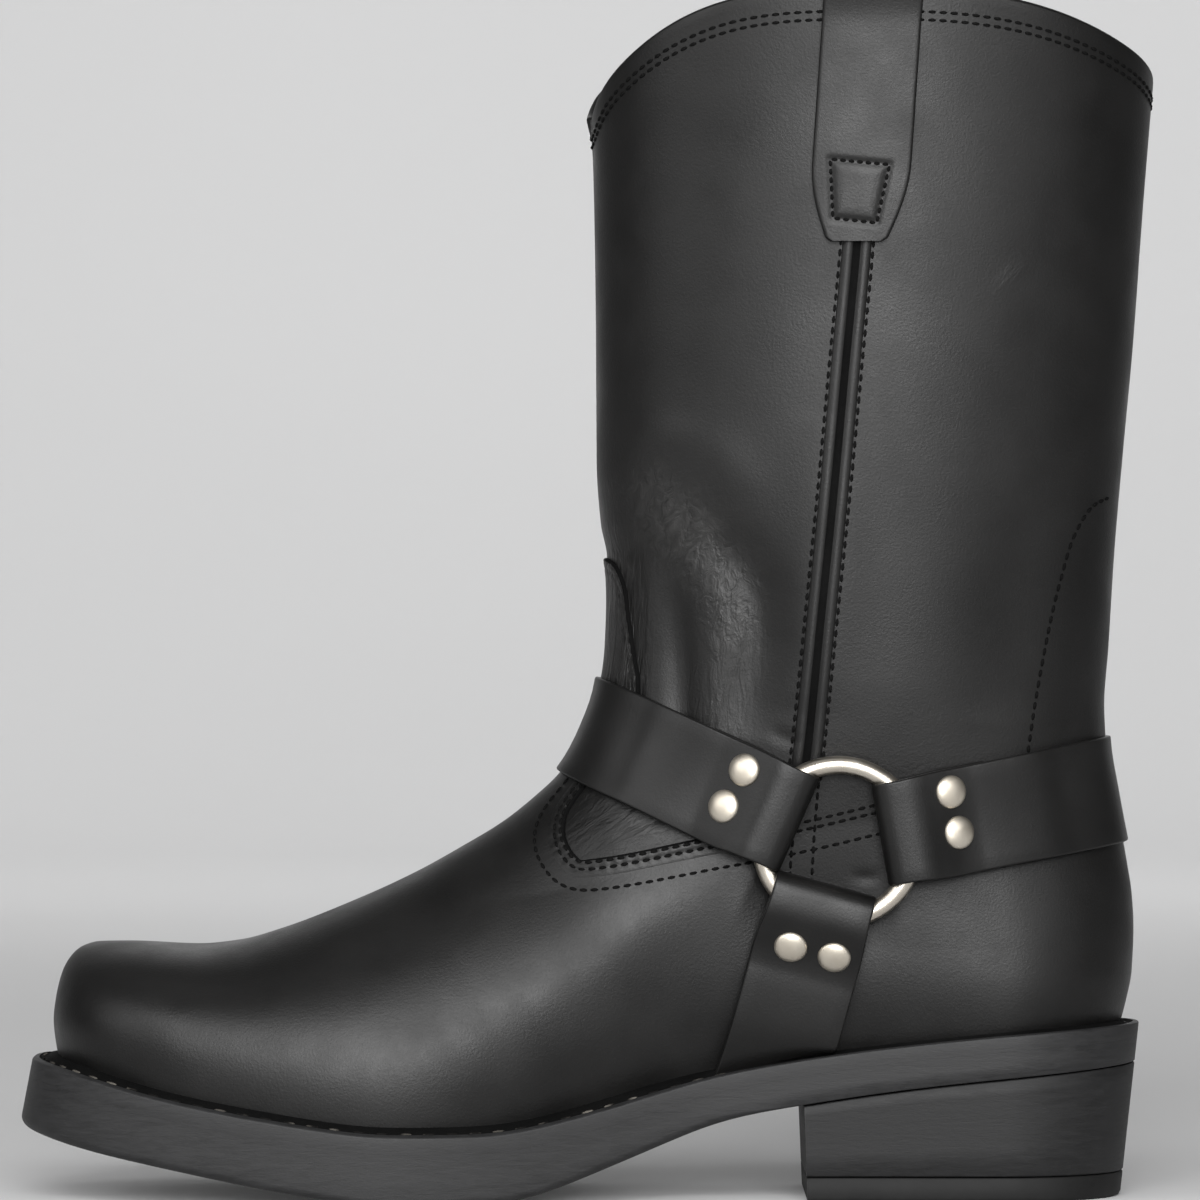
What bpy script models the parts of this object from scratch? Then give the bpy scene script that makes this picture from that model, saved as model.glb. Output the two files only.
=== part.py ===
"""Left western boot with a ring harness: sole, heel, hollow upper, pull loops, straps, rings, rivets.

Sizes are millimetres and MM turns them into metres. The toe points to -X, -Y is the outer side
of the left foot, +Z is up and the boot stands on z = 0.
"""

import math

import bmesh
import bpy
import numpy as np
from mathutils import Vector

MM = 0.001
GAP = 0.3
OUTER = -1
INNER = 1

WALL = 2.4
WELT = 4.0
WELT_LIFT = 0.5
WELT_CLEAR = 0.5
INSOLE = 3.0
INSOLE_LIFT = 0.8
INSOLE_CLEAR = 0.7
HEEL_LIFT = 6.6
HEEL_BREAST_X = 58.0
HEEL_NARROWING = 0.001
HEEL_STATIONS = 16
HEEL_CROWDING = 1.6
BREAST_LEAN = 0.04
EDGE_ROUND = 2.2
EDGE_ROUND_HEEL = 0.3
EDGE_INSET = 2.0
EDGE_FADE_X = 30.0
SOLE_TOE_X = -152.0
SOLE_HEEL_X = 151.0

STRAP = 2.4
STRAP_CLEAR = 0.7
STRAP_HALF = 14.7
FOLD_HALF = 12.6
FOLD_NARROW_TO = 17.0
FOLD_FULL_FROM = 32.0
FOLD_FLAT_TO = 22.0
FOLD_ON_WALL_FROM = 38.0
BEND_STEPS = 6
WRAP_SECTIONS = 20
WRAP_ROWS = (0.02, 0.95)
STRAP_LINES = (-1.0, -0.34, 0.34, 1.0)
RING_X = 67.4
RING_Z = 97.6
RING_RADIUS = 21.2
RING_WIRE = 4.2
RING_STEPS = 28
WIRE_STEPS = 7
RING_STANDOFF = 5.9
RING_PLAY = 0.7
RIVET_RADIUS = 4.3
RIVET_RISE = 2.4
RIVET_STEPS = 10
RIVET_SECTION = ((0.0, 0.0), (1.0, 0.0), (1.0, 0.3), (0.78, 0.72), (0.42, 0.94), (0.0, 1.0))
RIVET_SEATING = 0.35
SEAT_FROM = 27.5
SEAT_TO = 37.0
TAIL_BEND = 28.0
TAIL_REST = 34.0
OVER_FROM = 22.4
FOLD_TAIL = 42.0
FOLD_RELEASE = 54.0

LOOP = 2.2
LOOP_TOP_X = 78.0
LOOP_LEAN = 0.068
LOOP_HALF = 13.2
LOOP_TIP_HALF = 8.2

COLLAR_SIDE_Z = 326.0
COLLAR_FRONT_Z = 298.5
COLLAR_BACK_Z = 307.0
COLLAR_DIP_POWER = 3.0
COLLAR_NOTCH_FRONT = 10.0
COLLAR_NOTCH_BACK = 2.5
COLLAR_NOTCH_POWER = 24.0

STATIONS = 26
EVENNESS = 0.25
UPPER_ROWS = 31
ROW_SPREAD = 1.35
PROFILE_SAMPLES = 800
NORMAL_TURN = 0.004
NORMAL_STEP = 0.5
HALVINGS = 40


class Table:
    """Rows of sizes with named columns, read between the rows along a smooth monotone curve."""

    def __init__(self, columns, *rows):
        names = columns.split()
        self.keys = [float(row[0]) for row in rows]
        self.columns = {name: [float(row[i]) for row in rows] for i, name in enumerate(names)}
        self.slopes = {name: self.monotone_slopes(values) for name, values in self.columns.items()}

    def monotone_slopes(self, values):
        steps = [b - a for a, b in zip(self.keys, self.keys[1:])]
        rates = [(b - a) / step for a, b, step in zip(values, values[1:], steps)]
        slopes = [rates[0]]
        for before, after in zip(rates, rates[1:]):
            slopes.append(0.0 if before * after <= 0 else 2 * before * after / (before + after))
        return slopes + [rates[-1]]

    def at(self, name, key):
        keys = self.keys
        key = min(max(key, keys[0]), keys[-1])
        i = min(max(int(np.searchsorted(keys, key)) - 1, 0), len(keys) - 2)
        step = keys[i + 1] - keys[i]
        t = (key - keys[i]) / step
        values = self.columns[name]
        slopes = self.slopes[name]
        rise = values[i + 1] - values[i]
        lead = slopes[i] * step
        tail = slopes[i + 1] * step
        return values[i] + t * (lead + t * (3 * rise - 2 * lead - tail + t * (lead + tail - 2 * rise)))


SOLE = Table(
    "x welt_top bottom margin slant",
    (-155, 37.6, 21.0, 7.5, -0.20),
    (-141, 34.9, 16.6, 7.3, -0.16),
    (-131, 31.8, 13.9, 7.0, -0.10),
    (-110, 26.5, 9.2, 6.6, 0.0),
    (-89, 22.6, 5.0, 6.3, 0.0),
    (-70, 19.6, 1.8, 6.1, 0.0),
    (-56, 18.0, 0.0, 6.0, 0.0),
    (-26, 18.0, 0.0, 5.6, 0.0),
    (-12, 20.4, 2.9, 5.2, 0.0),
    (3, 24.2, 8.8, 5.0, 0.0),
    (18, 28.6, 14.8, 4.8, 0.0),
    (36, 34.0, 22.0, 4.6, 0.0),
    (58, 38.2, 26.2, 4.4, 0.0),
    (91, 42.5, 30.9, 4.0, -0.03),
    (119, 45.2, 33.8, 4.0, -0.07),
    (151, 47.2, 36.6, 4.0, -0.109),
)

FOOT = Table(
    "x outer inner ridge_y belly crown shaft_from",
    (-145, 35.0, 37.0, 4.0, 2.0, 4.6, 90),
    (-117, 41.0, 42.5, 4.0, 1.6, 4.2, 90),
    (-87, 46.5, 48.0, 4.0, 1.2, 3.2, 90),
    (-57, 49.0, 48.5, 3.5, 1.2, 2.5, 90),
    (-32, 46.0, 44.5, 3.0, 1.8, 2.3, 86),
    (3, 38.0, 34.0, 1.5, 3.0, 2.2, 68),
    (38, 31.5, 27.5, 0.5, 3.6, 2.2, 50),
    (73, 31.5, 30.5, 0.0, 2.6, 2.2, 45),
    (108, 33.0, 32.5, 0.0, 2.0, 2.2, 45),
    (148, 31.0, 31.0, 0.0, 1.5, 2.2, 45),
)

SHAFT = Table(
    "z half_width",
    (45, 35.0),
    (100, 38.0),
    (130, 39.5),
    (170, 42.0),
    (220, 44.5),
    (300, 47.0),
    (345, 48.5),
)

FRONT_POINTS = (
    (-144.0, 32.0),
    (-145.2, 40.5),
    (-145.5, 47.0),
    (-144.9, 53.0),
    (-143.3, 60.0),
    (-141.4, 63.8),
    (-138.4, 66.6),
    (-133.7, 67.9),
    (-126.0, 68.0),
    (-106.3, 67.2),
    (-95.3, 68.3),
    (-84.3, 71.3),
    (-61.3, 80.3),
    (-46.5, 87.2),
    (-34.1, 94.1),
    (-22.9, 100.9),
    (-14.4, 107.6),
    (-6.4, 115.4),
    (-0.3, 126.0),
    (3.9, 138.0),
    (5.5, 150.0),
    (5.9, 163.0),
    (5.3, 175.0),
    (3.6, 184.0),
    (2.5, 200.0),
    (2.2, 245.0),
    (1.5, 286.0),
    (0.8, COLLAR_FRONT_Z),
)

BACK_POINTS = (
    (146.4, 43.0),
    (147.9, 53.0),
    (149.1, 61.0),
    (149.6, 73.0),
    (149.2, 81.0),
    (147.4, 93.0),
    (144.4, 109.0),
    (142.0, 124.0),
    (141.6, 134.0),
    (142.7, 149.0),
    (144.4, 176.0),
    (146.8, 204.0),
    (149.4, 232.0),
    (152.3, 272.0),
    (155.1, COLLAR_BACK_Z),
)

BACK_RISE = Table(
    "front_share back_share",
    (0.0, 0.0),
    (0.12, 0.03),
    (0.57, 0.36),
    (1.0, 1.0),
)

THROAT_SHARE = 0.57
TOE_TOP_POINT = 8
RIDGE_END_X = 5.0
RIDGE_STEEPNESS = 4.5
SHAFT_COMPLETE_Z = 142.0
BELLY_HEIGHT = 66.0
TOE_ROUNDING = (40.0, 2.8)
HEEL_ROUNDING = (36.0, 2.1)
SOLE_TOE_ROUNDING = (44.0, 2.8)
SOLE_HEEL_ROUNDING = (38.0, 2.2)
SHAFT_FULLNESS = 2.15

LOOP_ON = GAP + LOOP / 2
LOOP_IN = -WALL - GAP - LOOP / 2
LOOP_PATH = Table(
    "step height z half",
    (0, LOOP_ON, 259.0, LOOP_TIP_HALF),
    (1, LOOP_ON, 280.0, LOOP_HALF),
    (2, LOOP_ON, 302.0, LOOP_HALF),
    (3, LOOP_ON, 318.0, LOOP_HALF),
    (4, 3.4, 330.0, LOOP_HALF),
    (5, 2.6, 337.5, LOOP_HALF),
    (6, -1.2, 341.5, LOOP_HALF),
    (7, -5.0, 337.5, LOOP_HALF),
    (8, -5.8, 330.0, LOOP_HALF),
    (9, LOOP_IN, 318.0, LOOP_HALF),
    (10, LOOP_IN, 300.0, LOOP_HALF),
    (11, LOOP_IN, 278.0, LOOP_HALF),
)

# A strap leaves the ring at its angle in the side view. Its rivets are (along, across) it from the ring's
# centre, turn sets which way across runs, and bridge lifts its middle over a hollow of the upper.
STRAPS = {
    "instep_strap": {"angle": 156.0, "turn": -1, "bridge": 0.9, "rivets": ((32.6, 7.5), (32.8, -3.6))},
    "heel_strap": {"angle": 10.0, "turn": 1, "bridge": 0.0, "rivets": ((32.6, 7.6), (32.8, -3.4))},
    "arch_strap": {"angle": 254.5, "turn": 1, "bridge": 0.0, "rivets": ((32.4, -4.6), (32.2, 7.0))},
}


def clamp(value, low=0.0, high=1.0):
    return min(max(value, low), high)


def mix(a, b, share):
    return a + (b - a) * share


def ease(low, high, value):
    t = clamp((value - low) / (high - low))
    return t * t * (3 - 2 * t)


def rounded(distance, rounding):
    """Closing of an outline towards its end: 0 at the end, 1 beyond the rounded length."""
    length, power = rounding
    return (1 - (1 - clamp(distance / length)) ** power) ** (1 / power)


class Profile:
    """A curve in the side view through (x, z) points, with look-ups of x from z and z from x."""

    def __init__(self, points):
        lengths = [0.0]
        for (x0, z0), (x1, z1) in zip(points, points[1:]):
            lengths.append(lengths[-1] + math.hypot(x1 - x0, z1 - z0))
        self.lengths = lengths
        rows = [(length, x, z) for length, (x, z) in zip(lengths, points)]
        self.curve = Table("length x z", *rows)

    def point(self, share):
        length = share * self.lengths[-1]
        return self.curve.at("x", length), self.curve.at("z", length)

    def sample(self, first=0, last=-1):
        start = self.lengths[first]
        stop = self.lengths[last]
        lengths = np.linspace(start, stop, PROFILE_SAMPLES)
        xs = [self.curve.at("x", length) for length in lengths]
        zs = [self.curve.at("z", length) for length in lengths]
        return np.array(xs), np.array(zs)


FRONT = Profile(FRONT_POINTS)
BACK = Profile(BACK_POINTS)
BACK_X, BACK_Z = BACK.sample()
TOE_X, TOE_Z = FRONT.sample(0, TOE_TOP_POINT)
RIDGE_X, RIDGE_Z = FRONT.sample(TOE_TOP_POINT - 1)


def feather(x):
    """Height of the outsole's upper face, where the upper, welt and insole sit."""
    return SOLE.at("welt_top", x) - WELT


def back_x(z):
    return float(np.interp(z, BACK_Z, BACK_X))


def toe_x(z):
    return float(np.interp(z, TOE_Z, TOE_X))


def front_x(z):
    return float(np.interp(z, RIDGE_Z, RIDGE_X))


def ridge_z(x):
    """Height of the foot's ridge; past the throat it climbs out of the way of the shaft."""
    rising = RIDGE_X < RIDGE_END_X
    stop = int(np.argmin(rising)) if not rising.all() else len(RIDGE_X)
    if x >= RIDGE_X[stop - 1]:
        return float(RIDGE_Z[stop - 1] + (x - RIDGE_X[stop - 1]) * RIDGE_STEEPNESS)
    return float(np.interp(x, RIDGE_X[:stop], RIDGE_Z[:stop]))


def foot_half(x, z, side):
    """Half-width of the foot on one side, measured from its ridge line."""
    edge = FOOT.at("outer" if side == OUTER else "inner", x) - side * FOOT.at("ridge_y", x)
    base = feather(x)
    up = clamp((z - base) / BELLY_HEIGHT)
    belly = FOOT.at("belly", x) * 4 * up * (1 - up)
    rise = clamp((z - base) / (ridge_z(x) - base))
    crown = (1 - rise ** FOOT.at("crown", x)) ** 0.5
    toe = rounded(x - toe_x(z), TOE_ROUNDING)
    heel = rounded(back_x(z) - x, HEEL_ROUNDING)
    return (edge + belly) * crown * toe * heel


def shaft_half(x, z):
    """Half-width of the oval shaft."""
    back = back_x(z)
    share = clamp((back - x) / (back - front_x(z)))
    oval = (1 - abs(2 * share - 1) ** SHAFT_FULLNESS) ** (1 / SHAFT_FULLNESS)
    return SHAFT.at("half_width", z) * oval


def wall_y(x, z, side):
    """Where the upper's outer face stands at (x, z) of the side view."""
    shaft = ease(FOOT.at("shaft_from", x), SHAFT_COMPLETE_Z, z)
    foot_y = FOOT.at("ridge_y", x) + side * foot_half(x, z, side)
    return mix(foot_y, side * shaft_half(x, z), shaft)


def collar_rise(share):
    """How far the collar stands above the line from its back to its front."""
    end_z = COLLAR_BACK_Z if share < 0.5 else COLLAR_FRONT_Z
    notch = COLLAR_NOTCH_BACK if share < 0.5 else COLLAR_NOTCH_FRONT
    near_end = abs(2 * share - 1)
    rim = COLLAR_SIDE_Z - (COLLAR_SIDE_Z - end_z) * near_end ** COLLAR_DIP_POWER
    rim -= notch * near_end ** COLLAR_NOTCH_POWER
    return rim - mix(COLLAR_BACK_Z, COLLAR_FRONT_Z, share)


def upper_xz(share, row):
    """Side-view place on the upper: share runs from back to front, row from feather to collar."""
    bx, bz = BACK.point(BACK_RISE.at("back_share", row))
    fx, fz = FRONT.point(row)
    x = mix(bx, fx, share)
    fade = clamp(1 - row / THROAT_SHARE)
    z = fade * feather(x) + mix(bz - fade * feather(bx), fz - fade * feather(fx), share)
    climb = clamp((row - THROAT_SHARE) / (1 - THROAT_SHARE))
    return x, z + collar_rise(share) * climb * climb


def upper_point(turn, row):
    """Point of the upper's outer face: turn 0 is the back, 1 the front, 2 the back again."""
    side = OUTER if turn <= 1 else INNER
    x, z = upper_xz(1 - abs(1 - turn), row)
    return Vector((x, wall_y(x, z, side), z))


def upper_normal(turn, row):
    low = max(row - NORMAL_TURN, 0.0)
    high = min(row + NORMAL_TURN, 1.0)
    around = upper_point((turn + NORMAL_TURN) % 2, row) - upper_point((turn - NORMAL_TURN) % 2, row)
    upward = upper_point(turn % 2, high) - upper_point(turn % 2, low)
    return upward.cross(around).normalized()


def side_normal(x, z, side):
    along = wall_y(x + NORMAL_STEP, z, side) - wall_y(x - NORMAL_STEP, z, side)
    upward = wall_y(x, z + NORMAL_STEP, side) - wall_y(x, z - NORMAL_STEP, side)
    return side * Vector((-along, 2 * NORMAL_STEP, -upward)).normalized()


def side_place(x, z, side, height):
    """Point that stands a height off the upper's side wall."""
    return Vector((x, wall_y(x, z, side), z)) + side_normal(x, z, side) * height


def stations():
    """Shares of the length from heel to toe, closer together at both ends."""
    evens = [i / STATIONS for i in range(STATIONS + 1)]
    return [mix((1 - math.cos(math.pi * even)) / 2, even, EVENNESS) for even in evens]


def new_object(name, mesh_bm, collection, material):
    """Object from a mesh drawn in millimetres, shaded smooth."""
    bmesh.ops.recalc_face_normals(mesh_bm, faces=mesh_bm.faces)
    bmesh.ops.scale(mesh_bm, vec=(MM, MM, MM), verts=mesh_bm.verts)
    mesh = bpy.data.meshes.new(name)
    mesh_bm.to_mesh(mesh)
    mesh_bm.free()
    part = bpy.data.objects.new(name, mesh)
    collection.objects.link(part)
    mesh.materials.append(material)
    mesh.shade_smooth()
    return part


def bridge(bm, first, second):
    """Quads between two closed rings of equal count."""
    count = len(first)
    for i in range(count):
        j = (i + 1) % count
        bm.faces.new((first[i], first[j], second[j], second[i]))


def cap(bm, ring, shared_start):
    """Strips across a ring, each place joined to the one opposite; both may share the first place."""
    last = len(ring) - 1 + shared_start
    for i in range(last // 2):
        opposite = [ring[(last - k) % len(ring)] for k in (i + 1, i)]
        corners = [ring[i], ring[i + 1]] + opposite
        bm.faces.new(list(dict.fromkeys(corners)))


def stack(rings, shared_start):
    """Solid through closed rings, closed at both ends."""
    bm = bmesh.new()
    made = [[bm.verts.new(point) for point in ring] for ring in rings]
    for lower, upper in zip(made, made[1:]):
        bridge(bm, lower, upper)
    cap(bm, made[0], shared_start)
    cap(bm, made[-1], shared_start)
    return bm


def outline(point):
    """Ring of the plan: out along the outer side from heel to toe, back along the inner side."""
    out = [point(share, OUTER) for share in stations()]
    back = [point(share, INNER) for share in stations()[-2:0:-1]]
    return out + back


def sole_plan(x, side, margin=0.0):
    """Half outline of the sole at a station."""
    edge = FOOT.at("outer" if side == OUTER else "inner", x) + SOLE.at("margin", x) + margin
    toe = rounded(x - SOLE_TOE_X, SOLE_TOE_ROUNDING)
    heel = rounded(SOLE_HEEL_X - x, SOLE_HEEL_ROUNDING)
    centre = FOOT.at("ridge_y", x) * (1 - toe)
    return centre + (side * edge - centre) * toe * heel


def sole_ring(height, inset=0.0):
    """Ring at a height given for each x, leaning out at the toe and in at the heel."""

    def point(share, side):
        x = mix(SOLE_HEEL_X - inset, SOLE_TOE_X + inset, share)
        deep = SOLE.at("welt_top", x) - height(x)
        return Vector((x + SOLE.at("slant", x) * deep, sole_plan(x, side, -inset), height(x)))

    return outline(point)


def upper_ring(rise, clearance):
    """Ring round (or, below zero clearance, inside) the upper at a rise above the feather line."""

    def point(share, side):
        toe = toe_x(feather(FRONT_POINTS[0][0]) + rise)
        heel = back_x(feather(BACK_POINTS[0][0]) + rise)
        x = mix(heel, toe, share)
        z = feather(x) + rise
        out = 0.0 if share in (0.0, 1.0) else side * clearance
        return Vector((x + mix(clearance, -clearance, share), wall_y(x, z, side) + out, z))

    return outline(point)


def edge_round(x):
    """Rounding of the outsole's lower edge, let out under the heel."""
    return mix(EDGE_ROUND, EDGE_ROUND_HEEL, ease(EDGE_FADE_X, HEEL_BREAST_X, x))


def make_outsole(collection, material):
    rings = [
        sole_ring(feather),
        sole_ring(lambda x: SOLE.at("bottom", x) + edge_round(x)),
        sole_ring(lambda x: SOLE.at("bottom", x), inset=EDGE_INSET),
    ]
    return new_object("outsole", stack(rings, shared_start=True), collection, material)


def make_welt(collection, material):
    rings = [
        sole_ring(lambda x: feather(x) + WELT_LIFT),
        sole_ring(lambda x: feather(x) + WELT),
        upper_ring(WELT, WELT_CLEAR),
        upper_ring(WELT_LIFT, WELT_CLEAR),
    ]
    bm = bmesh.new()
    made = [[bm.verts.new(point) for point in ring] for ring in rings]
    for lower, upper in zip(made, made[1:] + made[:1]):
        bridge(bm, lower, upper)
    return new_object("welt", bm, collection, material)


def make_insole(collection, material):
    inset = -(WALL + INSOLE_CLEAR)
    rings = [upper_ring(INSOLE_LIFT, inset), upper_ring(INSOLE_LIFT + INSOLE, inset)]
    return new_object("insole", stack(rings, shared_start=True), collection, material)


def heel_point(share, side, height):
    """Place on the heel's wall: share runs from the breast to the back."""
    x = mix(HEEL_BREAST_X, SOLE_HEEL_X, share)
    deep = SOLE.at("welt_top", x) - height(x)
    lean = mix(BREAST_LEAN, SOLE.at("slant", SOLE_HEEL_X), share)
    y = sole_plan(x, side) * (1 - HEEL_NARROWING * deep)
    return Vector((x + lean * deep, y, height(x)))


def heel_ring(height):
    """Ring of the heel: breast corner, round the back, other breast corner."""
    shares = [1 - (1 - i / HEEL_STATIONS) ** HEEL_CROWDING for i in range(HEEL_STATIONS + 1)]
    outer = [heel_point(share, OUTER, height) for share in shares]
    inner = [heel_point(share, INNER, height) for share in shares[-2::-1]]
    return outer + inner


def make_heel(collection, material):
    rings = [
        heel_ring(lambda x: HEEL_LIFT + GAP),
        heel_ring(lambda x: SOLE.at("bottom", x) - GAP),
    ]
    return new_object("heel", stack(rings, shared_start=False), collection, material)


def make_heel_lift(collection, material):
    rings = [heel_ring(lambda x: 0.0), heel_ring(lambda x: HEEL_LIFT)]
    return new_object("heel_lift", stack(rings, shared_start=False), collection, material)


def upper_row(i):
    """Rows lie closer together round the toe than up the shaft."""
    return (i / UPPER_ROWS) ** ROW_SPREAD


def make_upper(collection, material):
    bm = bmesh.new()
    rings = []
    for i in range(UPPER_ROWS + 1):
        row = upper_row(i)
        turns = stations() + [2 - share for share in stations()[-2:0:-1]]
        lift = Vector((0, 0, GAP * (1 - row)))
        rings.append([bm.verts.new(upper_point(turn, row) + lift) for turn in turns])
    for lower, upper in zip(rings, rings[1:]):
        bridge(bm, lower, upper)
    upper = new_object("upper", bm, collection, material)
    shell = upper.modifiers.new("wall", "SOLIDIFY")
    shell.thickness = WALL * MM
    shell.offset = -1
    shell.use_even_offset = True
    shell.use_rim = True
    return upper


def ribbon(name, sections, collection, material):
    """Strap through sections of (under, over) point pairs laid across its width."""
    rings = [[low for low, _ in pairs] + [high for _, high in reversed(pairs)] for pairs in sections]
    return new_object(name, stack(rings, shared_start=False), collection, material)


class RingFrame:
    """A ring's flat place on one side of the upper, with the straps that leave it."""

    def __init__(self, side):
        self.side = side
        rests = []
        for spec in STRAPS.values():
            along = self.directions(spec)[0] * RING_RADIUS
            rests.append(side_place(RING_X + along.x, RING_Z + along.z, side, 0.0))
        self.normal = (rests[1] - rests[0]).cross(rests[2] - rests[0]).normalized()
        if self.normal.y * side < 0:
            self.normal.negate()
        swell = max((wall - rests[0]).dot(self.normal) for wall in self.walls_under_wire())
        middle = side_place(RING_X, RING_Z, side, 0.0)
        proud = (middle - rests[0]).dot(self.normal)
        self.centre = middle + self.normal * (RING_STANDOFF - proud + swell)

    def walls_under_wire(self):
        """Places on the upper below the wire where the straps fold round it."""
        for spec in STRAPS.values():
            along, across = self.directions(spec)
            for line in STRAP_LINES:
                b = line * FOLD_HALF
                flat = along * math.sqrt(RING_RADIUS ** 2 - b ** 2) + across * b
                yield side_place(RING_X + flat.x, RING_Z + flat.z, self.side, 0.0)

    def directions(self, spec):
        angle = math.radians(spec["angle"])
        along = Vector((math.cos(angle), 0, math.sin(angle)))
        across = Vector((-along.z, 0, along.x)) * spec["turn"]
        return along, across

    def place(self, spec, a, b, height):
        """Point at a along and b across a strap: flat at the ring, on the upper further out."""
        along, across = self.directions(spec)
        flat = along * a + across * b
        in_plane = flat - self.normal * flat.dot(self.normal)
        at_ring = self.centre + in_plane + self.normal * (height - RING_STANDOFF)
        x = RING_X + flat.x
        z = RING_Z + flat.z
        on_wall = side_place(x, z, self.side, height)
        point = at_ring.lerp(on_wall, ease(FOLD_FLAT_TO, FOLD_ON_WALL_FROM, a))
        normal = side_normal(point.x, point.z, self.side)
        short = height - (point - side_place(point.x, point.z, self.side, 0.0)).dot(normal)
        return point + normal * max(short, 0.0)


def fold_path():
    """(along, height) of a strap's middle from its tucked tail round the ring to its free run."""
    low = STRAP_CLEAR + STRAP / 2
    high = low + STRAP + GAP
    reach = RING_WIRE / 2 + RING_PLAY + STRAP / 2
    centre = math.sqrt(RING_RADIUS ** 2 - FOLD_HALF ** 2)
    under = RING_STANDOFF - reach
    over = RING_STANDOFF + reach
    path = [(FOLD_TAIL, low), (TAIL_REST, low), (TAIL_BEND, low), (FOLD_FLAT_TO, under)]
    for i in range(BEND_STEPS + 1):
        angle = math.pi * i / BEND_STEPS
        path.append((centre - reach * math.sin(angle), RING_STANDOFF - reach * math.cos(angle)))
    path += [(OVER_FROM, over), (SEAT_FROM, high), (SEAT_TO, high), (FOLD_TAIL, high)]
    path += [(mix(FOLD_TAIL, FOLD_RELEASE, 0.5), mix(high, low, 0.65)), (FOLD_RELEASE, low)]
    return path


def fold_sections(frame, spec):
    """Sections of the folded end, from the tail to where the strap lies on the upper."""
    path = fold_path()
    sections = []
    for i, (a, height) in enumerate(path):
        before = path[max(i - 1, 0)]
        after = path[min(i + 1, len(path) - 1)]
        run = Vector((after[0] - before[0], after[1] - before[1])).normalized()
        off_a = -run.y * STRAP / 2
        off_h = run.x * STRAP / 2
        pairs = []
        half = mix(FOLD_HALF, STRAP_HALF, ease(FOLD_NARROW_TO, FOLD_FULL_FROM, a))
        for line in STRAP_LINES:
            b = line * half
            inner = frame.place(spec, a - off_a, b, height - off_h)
            outer = frame.place(spec, a + off_a, b, height + off_h)
            pairs.append((inner, outer))
        sections.append(pairs)
    return sections


def solve(function, low, high):
    """Place between low and high where a rising function crosses zero."""
    for _ in range(HALVINGS):
        middle = (low + high) / 2
        if function(middle) > 0:
            high = middle
        else:
            low = middle
    return (low + high) / 2


class Wrap:
    """A strap's run round the front or back of the upper, along planes set across the side view."""

    def __init__(self, spec):
        self.bridge = spec["bridge"]
        self.along, self.across = RingFrame(OUTER).directions(spec)
        self.sign = 1 if self.along.x < 0 else -1

    def offset(self, turn, row, axis):
        x, z = upper_xz(1 - abs(1 - turn), row)
        return (x - RING_X) * axis.x + (z - RING_Z) * axis.z

    def row(self, turn, b):
        return solve(lambda row: self.offset(turn, row, self.across) - b, *WRAP_ROWS)

    def start(self, b):
        """Turn at which the line b leaves the folded end."""

        def beyond(turn):
            reached = self.offset(turn, self.row(turn, b), self.along)
            return self.sign * (reached - FOLD_RELEASE)

        return solve(beyond, 0.0, 1.0)

    def sections(self):
        """Sections between the two folded ends, lifted a little where the strap bridges a hollow."""
        starts = [self.start(line * STRAP_HALF) for line in STRAP_LINES]
        result = []
        for i in range(1, WRAP_SECTIONS):
            pairs = []
            low = STRAP_CLEAR + self.bridge * math.sin(math.pi * i / WRAP_SECTIONS)
            for line, start in zip(STRAP_LINES, starts):
                stop = 2 - start if self.sign > 0 else -start
                turn = mix(start, stop, i / WRAP_SECTIONS) % 2
                row = self.row(turn, line * STRAP_HALF)
                point = upper_point(turn, row)
                normal = upper_normal(turn, row)
                pairs.append((point + normal * low, point + normal * (low + STRAP)))
            result.append(pairs)
        return result


def make_long_strap(name, collection, material):
    spec = STRAPS[name]
    outer = fold_sections(RingFrame(OUTER), spec)
    inner = fold_sections(RingFrame(INNER), spec)
    sections = outer + Wrap(spec).sections() + inner[::-1]
    return ribbon(name, sections, collection, material)


def arch_end(frame, spec, b):
    """How far along the arch strap its line b meets the welt."""
    along, across = frame.directions(spec)

    def below_welt(a):
        flat = along * a + across * b
        return SOLE.at("welt_top", RING_X + flat.x) + 2 * GAP - RING_Z - flat.z

    return solve(below_welt, FOLD_TAIL, RING_Z)


def make_arch_strap(side, collection, material):
    spec = STRAPS["arch_strap"]
    frame = RingFrame(side)
    sections = fold_sections(frame, spec)
    for share in (0.5, 1.0):
        pairs = []
        for line in STRAP_LINES:
            b = line * STRAP_HALF
            a = mix(FOLD_RELEASE, arch_end(frame, spec, b), share)
            inner = frame.place(spec, a, b, STRAP_CLEAR)
            outer = frame.place(spec, a, b, STRAP_CLEAR + STRAP)
            outer.z = max(outer.z, inner.z)
            pairs.append((inner, outer))
        sections.append(pairs)
    name = "arch_strap_outer" if side == OUTER else "arch_strap_inner"
    return ribbon(name, sections, collection, material)


def place_on(part, point, normal):
    part.location = point * MM
    part.rotation_mode = "QUATERNION"
    part.rotation_quaternion = normal.to_track_quat("Z", "Y")


def make_ring(side, collection, material):
    frame = RingFrame(side)
    bpy.ops.mesh.primitive_torus_add(
        major_segments=RING_STEPS,
        minor_segments=WIRE_STEPS,
        major_radius=RING_RADIUS * MM,
        minor_radius=RING_WIRE / 2 * MM,
    )
    ring = bpy.context.object
    ring.name = "ring_outer" if side == OUTER else "ring_inner"
    for holder in ring.users_collection:
        holder.objects.unlink(ring)
    collection.objects.link(ring)
    ring.data.materials.append(material)
    ring.data.shade_smooth()
    place_on(ring, frame.centre, frame.normal)
    return ring


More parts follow.
